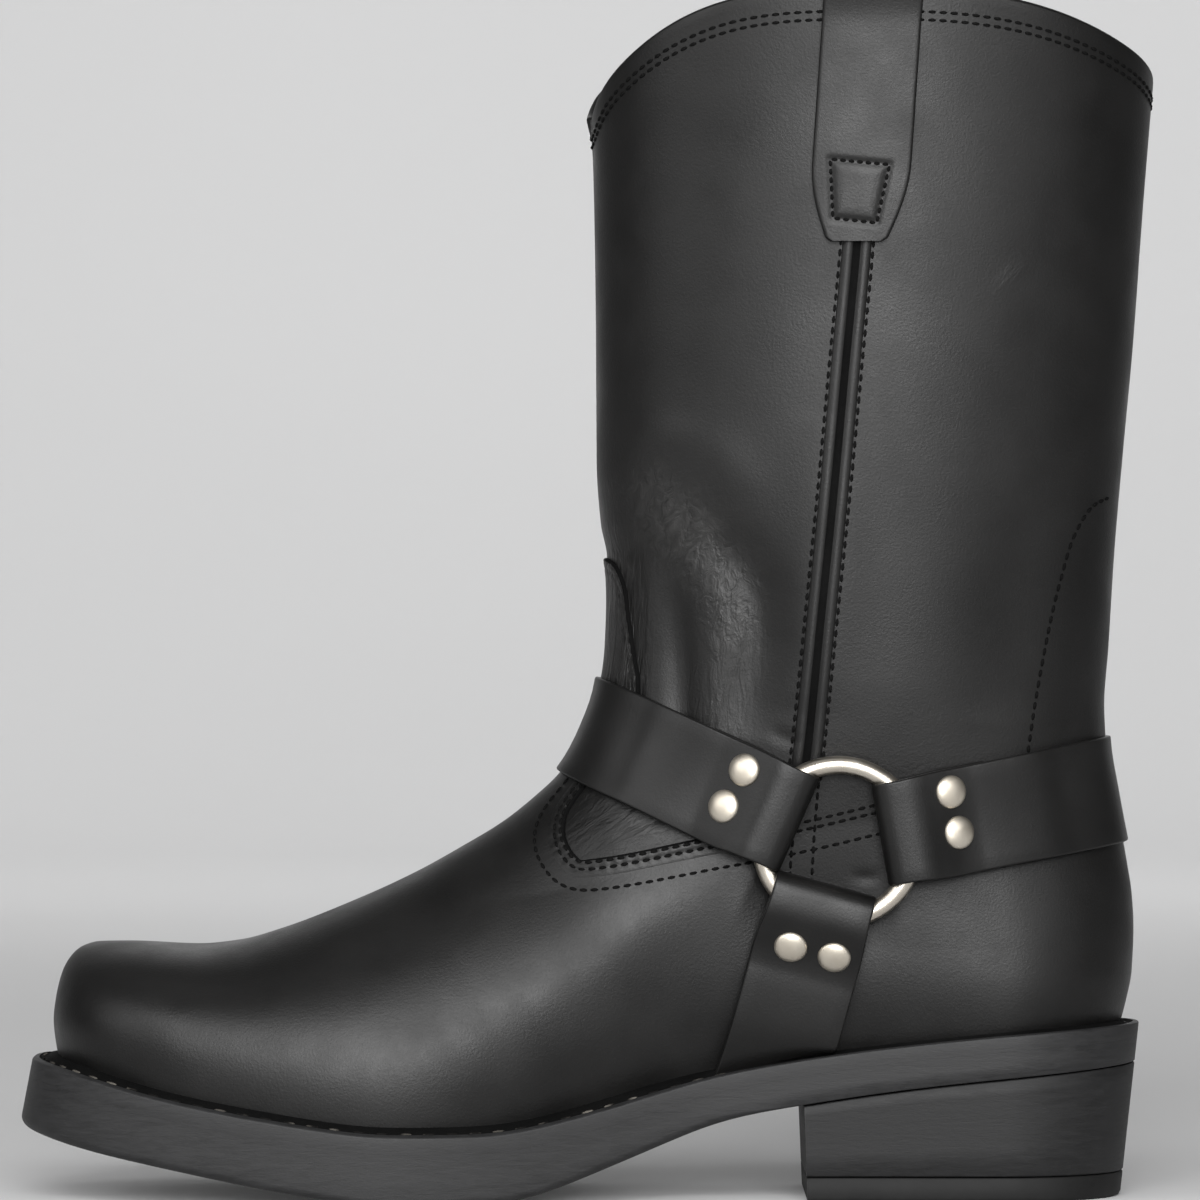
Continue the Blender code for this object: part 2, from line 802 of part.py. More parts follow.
def make_rivet(name, point, normal, collection, material):
    """Domed head turned from its half section."""
    bm = bmesh.new()
    made = [bm.verts.new((r * RIVET_RADIUS, 0, h * RIVET_RISE)) for r, h in RIVET_SECTION]
    for first, second in zip(made, made[1:]):
        bm.edges.new((first, second))
    rivet = new_object(name, bm, collection, material)
    turned = rivet.modifiers.new("turned", "SCREW")
    turned.steps = RIVET_STEPS
    turned.render_steps = RIVET_STEPS
    turned.use_merge_vertices = True
    turned.merge_threshold = 0.00001
    turned.use_normal_calculate = True
    place_on(rivet, point, normal)
    return rivet


def rivet_seat(frame, spec, a, b):
    """Point and normal on the flat of a strap's outer layer."""
    sections = fold_sections(frame, spec)
    first = [place for place, _ in fold_path()].index(SEAT_FROM)
    share = (a - SEAT_FROM) / (SEAT_TO - SEAT_FROM)
    lines = [near[1].lerp(far[1], share) for near, far in zip(sections[first], sections[first + 1])]
    line = max(i for i in range(len(STRAP_LINES) - 1) if STRAP_LINES[i] * STRAP_HALF <= b)
    span = STRAP_LINES[line + 1] - STRAP_LINES[line]
    across = (b / STRAP_HALF - STRAP_LINES[line]) / span
    point = lines[line].lerp(lines[line + 1], across)
    run = sections[first + 1][line][1] - sections[first][line][1]
    normal = run.cross(lines[-1] - lines[0]).normalized()
    if normal.dot(frame.normal) < 0:
        normal.negate()
    return point + normal * RIVET_SEATING, normal


def make_rivets(collection, material):
    for side, side_name in ((OUTER, "outer"), (INNER, "inner")):
        frame = RingFrame(side)
        for strap, spec in STRAPS.items():
            for number, (a, b) in enumerate(spec["rivets"], start=1):
                point, normal = rivet_seat(frame, spec, a, b)
                name = f"rivet_{strap.split('_')[0]}_{side_name}_{number}"
                make_rivet(name, point, normal, collection, material)


def loop_section(step, side):
    """Section of a pull loop: its places stand off the shaft, or off its line above the collar."""
    height, z, half = (LOOP_PATH.at(name, step) for name in ("height", "z", "half"))
    swell = LOOP_PATH.at("height", step + 1) - LOOP_PATH.at("height", step - 1)
    rise = LOOP_PATH.at("z", step + 1) - LOOP_PATH.at("z", step - 1)
    run = Vector((swell, rise)).normalized()
    wall_z = min(z, COLLAR_SIDE_Z)
    pairs = []
    for line in STRAP_LINES:
        x = LOOP_TOP_X - LOOP_LEAN * (COLLAR_SIDE_Z - z) + line * half
        normal = side_normal(x, wall_z, side)
        middle = side_place(x, wall_z, side, height) + Vector((0, 0, z - wall_z))
        off = (normal * run.y - Vector((0, 0, run.x))) * LOOP / 2
        pairs.append((middle - off, middle + off))
    return pairs


def make_pull_loop(side, collection, material):
    """Band up the outside of the shaft, over the collar and down its inside."""
    sections = [loop_section(step, side) for step in LOOP_PATH.keys]
    name = "pull_loop_outer" if side == OUTER else "pull_loop_inner"
    return ribbon(name, sections, collection, material)


def make_material(name, colour, roughness, metallic=0.0):
    material = bpy.data.materials.new(name)
    material.use_nodes = True
    shader = material.node_tree.nodes["Principled BSDF"]
    shader.inputs["Base Color"].default_value = (*colour, 1.0)
    shader.inputs["Roughness"].default_value = roughness
    shader.inputs["Metallic"].default_value = metallic
    return material


def main():
    for leftover in list(bpy.data.objects):
        bpy.data.objects.remove(leftover, do_unlink=True)
    parts = bpy.data.collections.new("western_boot")
    bpy.context.scene.collection.children.link(parts)
    leather = make_material("black_leather", (0.02, 0.019, 0.018), 0.4)
    harness = make_material("harness_leather", (0.022, 0.02, 0.019), 0.36)
    sole_leather = make_material("sole_leather", (0.025, 0.023, 0.021), 0.5)
    rubber = make_material("lift_rubber", (0.02, 0.02, 0.02), 0.7)
    board = make_material("insole_leather", (0.25, 0.19, 0.13), 0.7)
    nickel = make_material("nickel", (0.7, 0.66, 0.6), 0.25, 1.0)
    make_outsole(parts, sole_leather)
    make_welt(parts, sole_leather)
    make_heel(parts, sole_leather)
    make_heel_lift(parts, rubber)
    make_insole(parts, board)
    make_upper(parts, leather)
    make_long_strap("instep_strap", parts, harness)
    make_long_strap("heel_strap", parts, harness)
    for side in (OUTER, INNER):
        make_pull_loop(side, parts, leather)
        make_arch_strap(side, parts, harness)
        make_ring(side, parts, nickel)
    make_rivets(parts, nickel)


main()
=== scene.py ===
"""Left western boot with a ring harness, dressed in oiled black leather.

Sizes are millimetres, and MM turns them into metres when a piece is finished. The toe points to -X,
-Y is the outer side of the left foot, +Z is up and the boot stands on z = 0.
"""

import logging
import math
from collections.abc import Callable, Sequence
from dataclasses import dataclass, field
from enum import Enum, IntEnum
from typing import ClassVar

import bmesh
import bpy
import numpy as np
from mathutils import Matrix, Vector
from mathutils.bvhtree import BVHTree
from mathutils.kdtree import KDTree


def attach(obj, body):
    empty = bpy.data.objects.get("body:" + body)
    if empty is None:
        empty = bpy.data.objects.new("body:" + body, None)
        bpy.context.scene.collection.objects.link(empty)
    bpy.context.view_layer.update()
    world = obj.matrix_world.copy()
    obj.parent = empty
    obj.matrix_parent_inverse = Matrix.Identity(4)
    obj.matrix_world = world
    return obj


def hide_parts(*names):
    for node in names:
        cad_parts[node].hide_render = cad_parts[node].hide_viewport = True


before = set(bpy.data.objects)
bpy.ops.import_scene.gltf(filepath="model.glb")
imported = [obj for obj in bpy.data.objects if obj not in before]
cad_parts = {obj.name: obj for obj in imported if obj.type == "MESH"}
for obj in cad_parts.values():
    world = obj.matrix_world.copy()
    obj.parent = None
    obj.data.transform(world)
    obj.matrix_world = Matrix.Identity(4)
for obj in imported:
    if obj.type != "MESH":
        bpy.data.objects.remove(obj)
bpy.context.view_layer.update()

Array = np.ndarray
Pair = tuple[float, float]
Triple = tuple[float, float, float]
Heights = Callable[[Array], Array]
Socket = bpy.types.NodeSocket
LOG = logging.getLogger("western_boot")
MM = 0.001
WELD = 0.0005
SHARP_ANGLE = math.radians(50.0)
EDGE_STEPS = 5
HALVINGS = 40
CURVE_STEPS = 60
TINY = 1e-12


class Side(IntEnum):
    """Sides of the boot, as the sign of their y."""

    OUTER = -1
    INNER = 1

    @property
    def label(self) -> str:
        """The side in the names of pieces and nodes."""
        return self.name.lower()


class Slot(Enum):
    """Names of material slots."""

    BLACK_LEATHER = "black_leather"
    HARNESS_LEATHER = "harness_leather"
    SOLE_LEATHER = "sole_leather"
    LIFT_RUBBER = "lift_rubber"
    INSOLE_LEATHER = "insole_leather"
    NICKEL = "nickel"


def mix(a: Array | float, b: Array | float, share: Array | float) -> Array | float:
    """Value a share of the way from a to b."""
    return a + (b - a) * share


def ease(low: float, high: float, value: Array | float) -> Array | float:
    """Smooth step from 0 at low to 1 at high."""
    t = np.clip((value - low) / (high - low), 0.0, 1.0)
    return t * t * (3 - 2 * t)


def rounded(distance: Array, rounding: Pair) -> Array:
    """Closing of an outline towards its end: 0 at the end, 1 beyond the rounded length."""
    length, power = rounding
    return (1 - (1 - np.clip(distance / length, 0.0, 1.0)) ** power) ** (1 / power)


def unit(vectors: Array) -> Array:
    """Vectors brought to length 1."""
    return vectors / np.maximum(np.linalg.norm(vectors, axis=-1, keepdims=True), TINY)


def curved(start: Array, stop: Array, lead: Array, tail: Array, share: Array) -> Array:
    """Values a share of the way along a cubic that leaves start by lead and comes to stop by tail."""
    rise = stop - start
    return start + share * (lead + share * (3 * rise - 2 * lead - tail + share * (lead + tail - 2 * rise)))


def halve(low: Array, high: Array, beyond: Callable[[Array], Array]) -> Array:
    """Finds where a test begins to hold.

    Args:
        low: Values at which the test fails.
        high: Values at which it holds.
        beyond: The test, for all values at once.

    Returns:
        Values between low and high.
    """
    for _ in range(HALVINGS):
        middle = (low + high) / 2
        past = beyond(middle)
        high = np.where(past, middle, high)
        low = np.where(past, low, middle)
    return (low + high) / 2


def reach_along(points: Array) -> Array:
    """Distance run along a line of points, from its start."""
    steps = np.linalg.norm(np.diff(points, axis=0), axis=1)
    return np.concatenate(([0.0], np.cumsum(steps)))


def evenly(points: Array, spacing: float) -> Array:
    """A line of points set out again at even steps.

    Args:
        points: Places along the line, closely set.
        spacing: Step to come nearest to.

    Returns:
        Places along the same line, ends kept.
    """
    reach = reach_along(points)
    count = max(int(round(reach[-1] / spacing)), 1) + 1
    stops = np.linspace(0.0, reach[-1], count)
    return np.column_stack([np.interp(stops, reach, column) for column in points.T])


def smooth_line(points: Sequence[Sequence[float]], spacing: float) -> Array:
    """Smooth curve through a few places.

    Args:
        points: Places that the curve goes through.
        spacing: Step between the places given back.

    Returns:
        Places along the curve.
    """
    knots = np.array(points, dtype=float)
    reach = reach_along(knots)
    slopes = np.gradient(knots, reach, axis=0)
    stops = np.linspace(0.0, reach[-1], CURVE_STEPS * len(knots))
    i = np.clip(np.searchsorted(reach, stops) - 1, 0, len(reach) - 2)
    step = (reach[i + 1] - reach[i])[:, None]
    t = (stops - reach[i])[:, None] / step
    curve = curved(knots[i], knots[i + 1], slopes[i] * step, slopes[i + 1] * step, t)
    return evenly(curve, spacing)


def soften(values: Array, rounds: int) -> Array:
    """Values along a line averaged with their neighbours, ends kept."""
    values = values.copy()
    for _ in range(rounds):
        values[1:-1] = (values[:-2] + 2 * values[1:-1] + values[2:]) / 4
    return values


class SizeTable:
    """Rows of sizes with named columns, read between the rows along a smooth monotone curve."""

    def __init__(self, columns: str, *rows: Sequence[float]) -> None:
        """Keeps the rows; the first column is the key."""
        values = np.array(rows, dtype=float)
        self.keys = values[:, 0]
        self.columns = dict(zip(columns.split(), values.T))
        self.slopes = {name: self.monotone_slopes(column) for name, column in self.columns.items()}

    def monotone_slopes(self, column: Array) -> Array:
        """Slope at each row that lets no overshoot in."""
        rates = np.diff(column) / np.diff(self.keys)
        product = rates[:-1] * rates[1:]
        total = np.where(product > 0, rates[:-1] + rates[1:], 1.0)
        return np.concatenate((rates[:1], np.where(product > 0, 2 * product / total, 0.0), rates[-1:]))

    def at(self, name: str, key: Array | float) -> Array:
        """Column read at a key, held at its end values beyond the table."""
        key = np.clip(key, self.keys[0], self.keys[-1])
        i = np.clip(np.searchsorted(self.keys, key) - 1, 0, len(self.keys) - 2)
        step = self.keys[i + 1] - self.keys[i]
        t = (key - self.keys[i]) / step
        column = self.columns[name]
        slopes = self.slopes[name]
        return curved(column[i], column[i + 1], slopes[i] * step, slopes[i + 1] * step, t)


class SoftTable(SizeTable):
    """Size table whose curves are evened along its key."""

    SAMPLES = 700

    def __init__(self, span: float, columns: str, *rows: Sequence[float]) -> None:
        """Evens every column over a span of the key."""
        super().__init__(columns, *rows)
        self.fine_keys = np.linspace(self.keys[0], self.keys[-1], self.SAMPLES)
        rounds = int(2 * (span / (self.fine_keys[1] - self.fine_keys[0])) ** 2)
        read = super().at
        self.even = {name: soften(read(name, self.fine_keys), rounds) for name in self.columns}

    def at(self, name: str, key: Array | float) -> Array:
        """Column read at a key, held at its end values beyond the table."""
        return np.interp(key, self.fine_keys, self.even[name])


class SideProfile:
    """Curve in the side view through (x, z) points."""

    SAMPLES = 800

    def __init__(self, *points: Pair) -> None:
        """Keeps the curve against the distance run along it."""
        places = np.array(points)
        self.reach = reach_along(places)
        self.curve = SizeTable("reach x z", *np.column_stack((self.reach, places)))

    def point(self, share: Array) -> tuple[Array, Array]:
        """Place a share of the way along the curve."""
        return self.curve.at("x", share * self.reach[-1]), self.curve.at("z", share * self.reach[-1])

    def sample(self, first: int = 0, last: int = -1) -> tuple[Array, Array]:
        """Close places between two of the points."""
        stops = np.linspace(self.reach[first], self.reach[last], self.SAMPLES)
        return self.curve.at("x", stops), self.curve.at("z", stops)


SOLE = SoftTable(
    7.0,
    "x welt_top bottom margin slant",
    (-155, 37.6, 21.0, 7.5, -0.20),
    (-141, 34.9, 16.6, 7.3, -0.16),
    (-131, 31.8, 13.9, 7.0, -0.10),
    (-110, 26.5, 9.2, 6.6, 0.0),
    (-89, 22.6, 5.0, 6.3, 0.0),
    (-70, 19.6, 1.8, 6.1, 0.0),
    (-56, 18.0, 0.0, 6.0, 0.0),
    (-26, 18.0, 0.0, 5.6, 0.0),
    (-12, 20.4, 2.9, 5.2, 0.0),
    (3, 24.2, 8.8, 5.0, 0.0),
    (18, 28.6, 14.8, 4.8, 0.0),
    (36, 34.0, 22.0, 4.6, 0.0),
    (58, 38.2, 26.2, 4.4, 0.0),
    (91, 42.5, 30.9, 4.0, -0.03),
    (119, 45.2, 33.8, 4.0, -0.07),
    (151, 47.2, 36.6, 4.0, -0.109),
)

FOOT = SoftTable(
    9.0,
    "x outer inner ridge_y belly crown shaft_from",
    (-145, 35.0, 37.0, 4.0, 2.0, 4.6, 90),
    (-117, 41.0, 42.5, 4.0, 1.6, 4.2, 90),
    (-87, 46.5, 48.0, 4.0, 1.2, 3.2, 90),
    (-57, 49.0, 48.5, 3.5, 1.2, 2.5, 90),
    (-32, 46.0, 44.5, 3.0, 1.8, 2.3, 86),
    (3, 38.0, 34.0, 1.5, 3.0, 2.2, 68),
    (38, 31.5, 27.5, 0.5, 3.6, 2.2, 50),
    (73, 31.5, 30.5, 0.0, 2.6, 2.2, 45),
    (108, 33.0, 32.5, 0.0, 2.0, 2.2, 45),
    (148, 31.0, 31.0, 0.0, 1.5, 2.2, 45),
)

SHAFT = SizeTable(
    "z half_width",
    (45, 35.0), (100, 38.0), (130, 39.5), (170, 42.0), (220, 44.5), (300, 47.0), (345, 48.5),
)

COLLAR_SIDE_Z = 326.0
COLLAR_FRONT_Z = 298.5
COLLAR_BACK_Z = 307.0
COLLAR_FRONT_POWER = 3.5
COLLAR_BACK_POWER = 2.7
COLLAR_FRONT_NOTCH = 5.5
COLLAR_BACK_NOTCH = 2.5
COLLAR_NOTCH_POWER = 40.0

FRONT = SideProfile(
    (-144.0, 32.0), (-145.2, 40.5), (-145.5, 47.0), (-144.9, 53.0), (-143.3, 60.0), (-141.4, 63.8),
    (-138.4, 66.6), (-133.7, 67.9), (-126.0, 68.0), (-106.3, 67.2), (-95.3, 68.3), (-84.3, 71.3),
    (-61.3, 80.3), (-46.5, 87.2), (-34.1, 94.1), (-22.9, 100.9), (-14.4, 107.6), (-6.4, 115.4),
    (-0.3, 126.0), (3.9, 138.0), (5.5, 150.0), (5.9, 163.0), (5.3, 175.0), (3.6, 184.0), (2.5, 200.0),
    (2.2, 245.0), (1.5, 286.0),
    (0.8, COLLAR_FRONT_Z),
)

BACK = SideProfile(
    (146.4, 43.0), (147.9, 53.0), (149.1, 61.0), (149.6, 73.0), (149.2, 81.0), (147.4, 93.0),
    (144.4, 109.0), (142.0, 124.0), (141.6, 134.0), (142.7, 149.0), (144.4, 176.0), (146.8, 204.0),
    (149.4, 232.0), (152.3, 272.0),
    (155.1, COLLAR_BACK_Z),
)

TUCK = SoftTable(
    9.0,
    "x depth height",
    (-145, 1.2, 16),
    (-90, 1.4, 18),
    (-70, 1.4, 18),
    (-45, 1.9, 26),
    (-15, 5.0, 50),
    (15, 6.4, 58),
    (40, 5.4, 50),
    (75, 2.6, 28),
    (110, 1.4, 18),
    (150, 1.0, 14),
)

BACK_RISE = SizeTable(
    "front_share back_share",
    (0.0, 0.0), (0.12, 0.03), (0.57, 0.36), (1.0, 1.0),
)


@dataclass
class BootForm:
    """Outer face of the upper and outline of the sole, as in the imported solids."""

    wall: float = 2.4
    welt: float = 4.0
    gap: float = 0.3
    toe_top_point: int = 8
    instep_point: int = 10
    shaft_base: Pair = (-133.7, 40.0)
    throat_share: float = 0.57
    ridge_end_x: float = 5.0
    ridge_steepness: float = 4.5
    ridge_softenings: int = 160
    ridge_felt: Pair = (0.55, 0.95)
    soft_span: Pair = (-160.0, 170.0)
    shaft_complete_z: float = 142.0
    shaft_fullness: float = 2.15
    belly_height: float = 66.0
    toe_rounding: Pair = (40.0, 2.8)
    heel_rounding: Pair = (36.0, 2.1)
    sole_toe_rounding: Pair = (44.0, 2.8)
    sole_heel_rounding: Pair = (38.0, 2.2)
    sole_toe_x: float = -152.0
    sole_heel_x: float = 151.0
    turn_step: float = 0.004
    place_step: float = 0.5

    def __post_init__(self) -> None:
        """Samples the profiles that are looked up by x or z."""
        self.back_xs, self.back_zs = BACK.sample()
        self.toe_xs, self.toe_zs = FRONT.sample(0, self.toe_top_point)
        ridge_xs, ridge_zs = FRONT.sample(self.toe_top_point - 1)
        stop = int(np.argmin(ridge_xs < self.ridge_end_x))
        self.ridge_xs = ridge_xs[:stop]
        self.ridge_zs = ridge_zs[:stop]
        front_xs, front_zs = FRONT.sample(self.instep_point)
        self.soft_xs = np.arange(*self.soft_span)
        self.soft_zs = soften(self.ridge_z(self.soft_xs), self.ridge_softenings)
        self.front_xs = np.concatenate((self.shaft_base[:1], front_xs))
        self.front_zs = np.concatenate((self.shaft_base[1:], front_zs))

    def feather(self, x: Array) -> Array:
        """Height of the outsole's upper face."""
        return SOLE.at("welt_top", x) - self.welt

    def ridge_z(self, x: Array) -> Array:
        """Height of the foot's ridge; past the throat it climbs out of the way of the shaft."""
        past = np.maximum(x - self.ridge_xs[-1], 0.0)
        return np.interp(x, self.ridge_xs, self.ridge_zs) + past * self.ridge_steepness

    def edge(self, x: Array, side: Array | int) -> Array:
        """Half-width of the foot at the feather line."""
        return np.where(np.asarray(side) < 0, FOOT.at("outer", x), FOOT.at("inner", x))

    def foot_half(self, x: Array, z: Array, side: Array | int) -> Array:
        """Half-width of the foot on one side, measured from its ridge line."""
        edge = self.edge(x, side) - side * FOOT.at("ridge_y", x)
        base = self.feather(x)
        up = np.clip((z - base) / self.belly_height, 0.0, 1.0)
        belly = FOOT.at("belly", x) * 4 * up * (1 - up)
        true_rise = np.clip((z - base) / (self.ridge_z(x) - base), 0.0, 1.0)
        soft_rise = np.clip((z - base) / (np.interp(x, self.soft_xs, self.soft_zs) - base), 0.0, 1.0)
        rise = mix(soft_rise, true_rise, ease(*self.ridge_felt, true_rise))
        crown = (1 - rise ** FOOT.at("crown", x)) ** 0.5
        toe = rounded(x - np.interp(z, self.toe_zs, self.toe_xs), self.toe_rounding)
        heel = rounded(np.interp(z, self.back_zs, self.back_xs) - x, self.heel_rounding)
        return (edge + belly) * crown * toe * heel

    def shaft_half(self, x: Array, z: Array) -> Array:
        """Half-width of the oval shaft."""
        back = np.interp(z, self.back_zs, self.back_xs)
        front = np.interp(z, self.front_zs, self.front_xs)
        share = np.clip((back - x) / (back - front), 0.0, 1.0)
        oval = (1 - np.abs(2 * share - 1) ** self.shaft_fullness) ** (1 / self.shaft_fullness)
        return SHAFT.at("half_width", z) * oval

    def wall_y(self, x: Array, z: Array, side: Array | int) -> Array:
        """Where the upper's outer face stands at (x, z) of the side view."""
        shaft = ease(FOOT.at("shaft_from", x), self.shaft_complete_z, z)
        foot_y = FOOT.at("ridge_y", x) + side * self.foot_half(x, z, side)
        return mix(foot_y, side * self.shaft_half(x, z), shaft)

    def upper_xz(self, share: Array, row: Array) -> tuple[Array, Array]:
        """Side-view place on the upper: share runs from back to front, row from feather to collar."""
        back_x, back_z = BACK.point(BACK_RISE.at("back_share", row))
        front_x, front_z = FRONT.point(row)
        x = mix(back_x, front_x, share)
        fade = np.clip(1 - row / self.throat_share, 0.0, 1.0)
        low = mix(back_z - fade * self.feather(back_x), front_z - fade * self.feather(front_x), share)
        climb = np.clip((row - self.throat_share) / (1 - self.throat_share), 0.0, 1.0)
        rise = self.collar_rim(share) - mix(COLLAR_BACK_Z, COLLAR_FRONT_Z, share)
        return x, fade * self.feather(x) + low + rise * climb * climb

    def collar_rim(self, share: Array) -> Array:
        """Height of the collar's rim: high at the sides, dipping to a notch at both ends."""
        near_end = np.abs(2 * share - 1)
        back = (COLLAR_SIDE_Z - COLLAR_BACK_Z) * near_end ** COLLAR_BACK_POWER
        back += COLLAR_BACK_NOTCH * near_end ** COLLAR_NOTCH_POWER
        front = (COLLAR_SIDE_Z - COLLAR_FRONT_Z) * near_end ** COLLAR_FRONT_POWER
        front += COLLAR_FRONT_NOTCH * near_end ** COLLAR_NOTCH_POWER
        return COLLAR_SIDE_Z - np.where(share < 0.5, back, front)

    def upper_point(self, turn: Array, row: Array) -> Array:
        """Place on the outer face: turn 0 is the back, 1 the front, 2 the back again."""
        turn = np.mod(turn, 2.0)
        side = np.where(turn <= 1, -1, 1)
        x, z = self.upper_xz(1 - np.abs(1 - turn), row)
        return np.stack((x, self.wall_y(x, z, side), z), axis=-1)

    def upper_normal(self, turn: Array, row: Array) -> Array:
        """Outward direction of the outer face."""
        step = self.turn_step
        around = self.upper_point(turn + step, row) - self.upper_point(turn - step, row)
        above = self.upper_point(turn, np.minimum(row + step, 1))
        below = self.upper_point(turn, np.maximum(row - step, 0))
        return unit(np.cross(above - below, around))

    def side_normal(self, x: Array, z: Array, side: int) -> Array:
        """Outward direction of the wall at (x, z) of the side view."""
        step = self.place_step
        along = self.wall_y(x + step, z, side) - self.wall_y(x - step, z, side)
        upward = self.wall_y(x, z + step, side) - self.wall_y(x, z - step, side)
        return side * unit(np.stack((-along, np.full_like(along, 2 * step), -upward), axis=-1))

    def side_place(self, x: Array, z: Array, side: int, height: Array | float) -> Array:
        """Place that stands a height off the upper's side wall."""
        wall = np.stack((x, self.wall_y(x, z, side), z), axis=-1)
        return wall + self.side_normal(x, z, side) * np.asarray(height)[..., None]

    def sole_plan(self, x: Array, side: int) -> Array:
        """Half outline of the sole at a station."""
        toe = rounded(x - self.sole_toe_x, self.sole_toe_rounding)
        heel = rounded(self.sole_heel_x - x, self.sole_heel_rounding)
        centre = FOOT.at("ridge_y", x) * (1 - toe)
        return centre + (side * (self.edge(x, side) + SOLE.at("margin", x)) - centre) * toe * heel


FORM = BootForm()


def sheet_of(points: Array) -> bmesh.types.BMesh:
    """Grid laid on an array of places.

    Args:
        points: Places as rows by columns by 3.

    Returns:
        Open mesh with one vertex for each place.
    """
    rows, columns = points.shape[:2]
    bm = bmesh.new()
    bmesh.ops.create_grid(bm, x_segments=columns - 1, y_segments=rows - 1, size=1.0)
    for vert, place in zip(bm.verts, points.reshape(-1, 3)):
        vert.co = place
    return bm


def loft_of(sections: Array, inked: range = range(0), ring: bool = False) -> bmesh.types.BMesh:
    """Closed solid through sections that each run round once.

    Args:
        sections: Places as sections by places round by 3.
        inked: Strips round the section that take the second finish.
        ring: Whether the last section meets the first; if not, both ends are closed.

    Returns:
        Solid with its faces outwards.
    """
    closed = np.concatenate((sections, sections[:, :1]), axis=1)
    if ring:
        closed = np.concatenate((closed, closed[:1]))
    bm = sheet_of(closed)
    # The listed strips take the second finish, a near-black ink that paints shade in grooves and gaps.
    for i, quad in enumerate(bm.faces):
        quad.material_index = int(i % sections.shape[1] in inked)
    bmesh.ops.remove_doubles(bm, verts=bm.verts, dist=WELD)
    bmesh.ops.holes_fill(bm, edges=[edge for edge in bm.edges if edge.is_boundary], sides=0)
    bmesh.ops.recalc_face_normals(bm, faces=bm.faces)
    return bm


def flat_section(half: float, thick: float, edge: float, across: int = 9) -> Array:
    """Closed section of a flat band with rounded edges.

    Args:
        half: Half its width.
        thick: Its thickness.
        edge: Radius of its edges.
        across: Places along each flat face.

    Returns:
        (across, height) places, once round.
    """
    flat = half - edge
    side = thick / 2 - edge
    turns = np.linspace(0.0, math.pi / 2, EDGE_STEPS)
    corner = np.column_stack((edge * np.sin(turns), edge * np.cos(turns)))
    top = np.column_stack((np.linspace(-flat, flat, across), np.full(across, thick / 2)))
    right = corner[1:] + (flat, side)
    low = (corner * (1, -1))[::-1] + (flat, -side)
    right_half = np.concatenate((top, right, low))
    left_half = -right_half
    return np.concatenate((right_half[:-1], left_half[:-1]))


def hand_over(
    name: str,
    bm: bmesh.types.BMesh,
    materials: Sequence[bpy.types.Material],
    replaced: Sequence[str] = (),
) -> None:
    """Finishes a piece drawn in millimetres and hands it to the frame.

    Args:
        name: Name of the piece.
        bm: Its mesh, which is freed.
        materials: Its finishes, in the order of the faces' material numbers.
        replaced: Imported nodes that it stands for.
    """
    bmesh.ops.scale(bm, vec=(MM, MM, MM), verts=bm.verts)
    mesh = bpy.data.meshes.new(name)
    bm.to_mesh(mesh)
    bm.free()
    mesh.shade_smooth()
    mesh.set_sharp_from_angle(angle=SHARP_ANGLE)
    for material in materials:
        mesh.materials.append(material)
    piece = bpy.data.objects.new(name, mesh)
    bpy.context.scene.collection.objects.link(piece)
    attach(piece, "root")
    if replaced:
        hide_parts(*replaced)
    LOG.info("%s: %d faces", name, len(mesh.polygons))


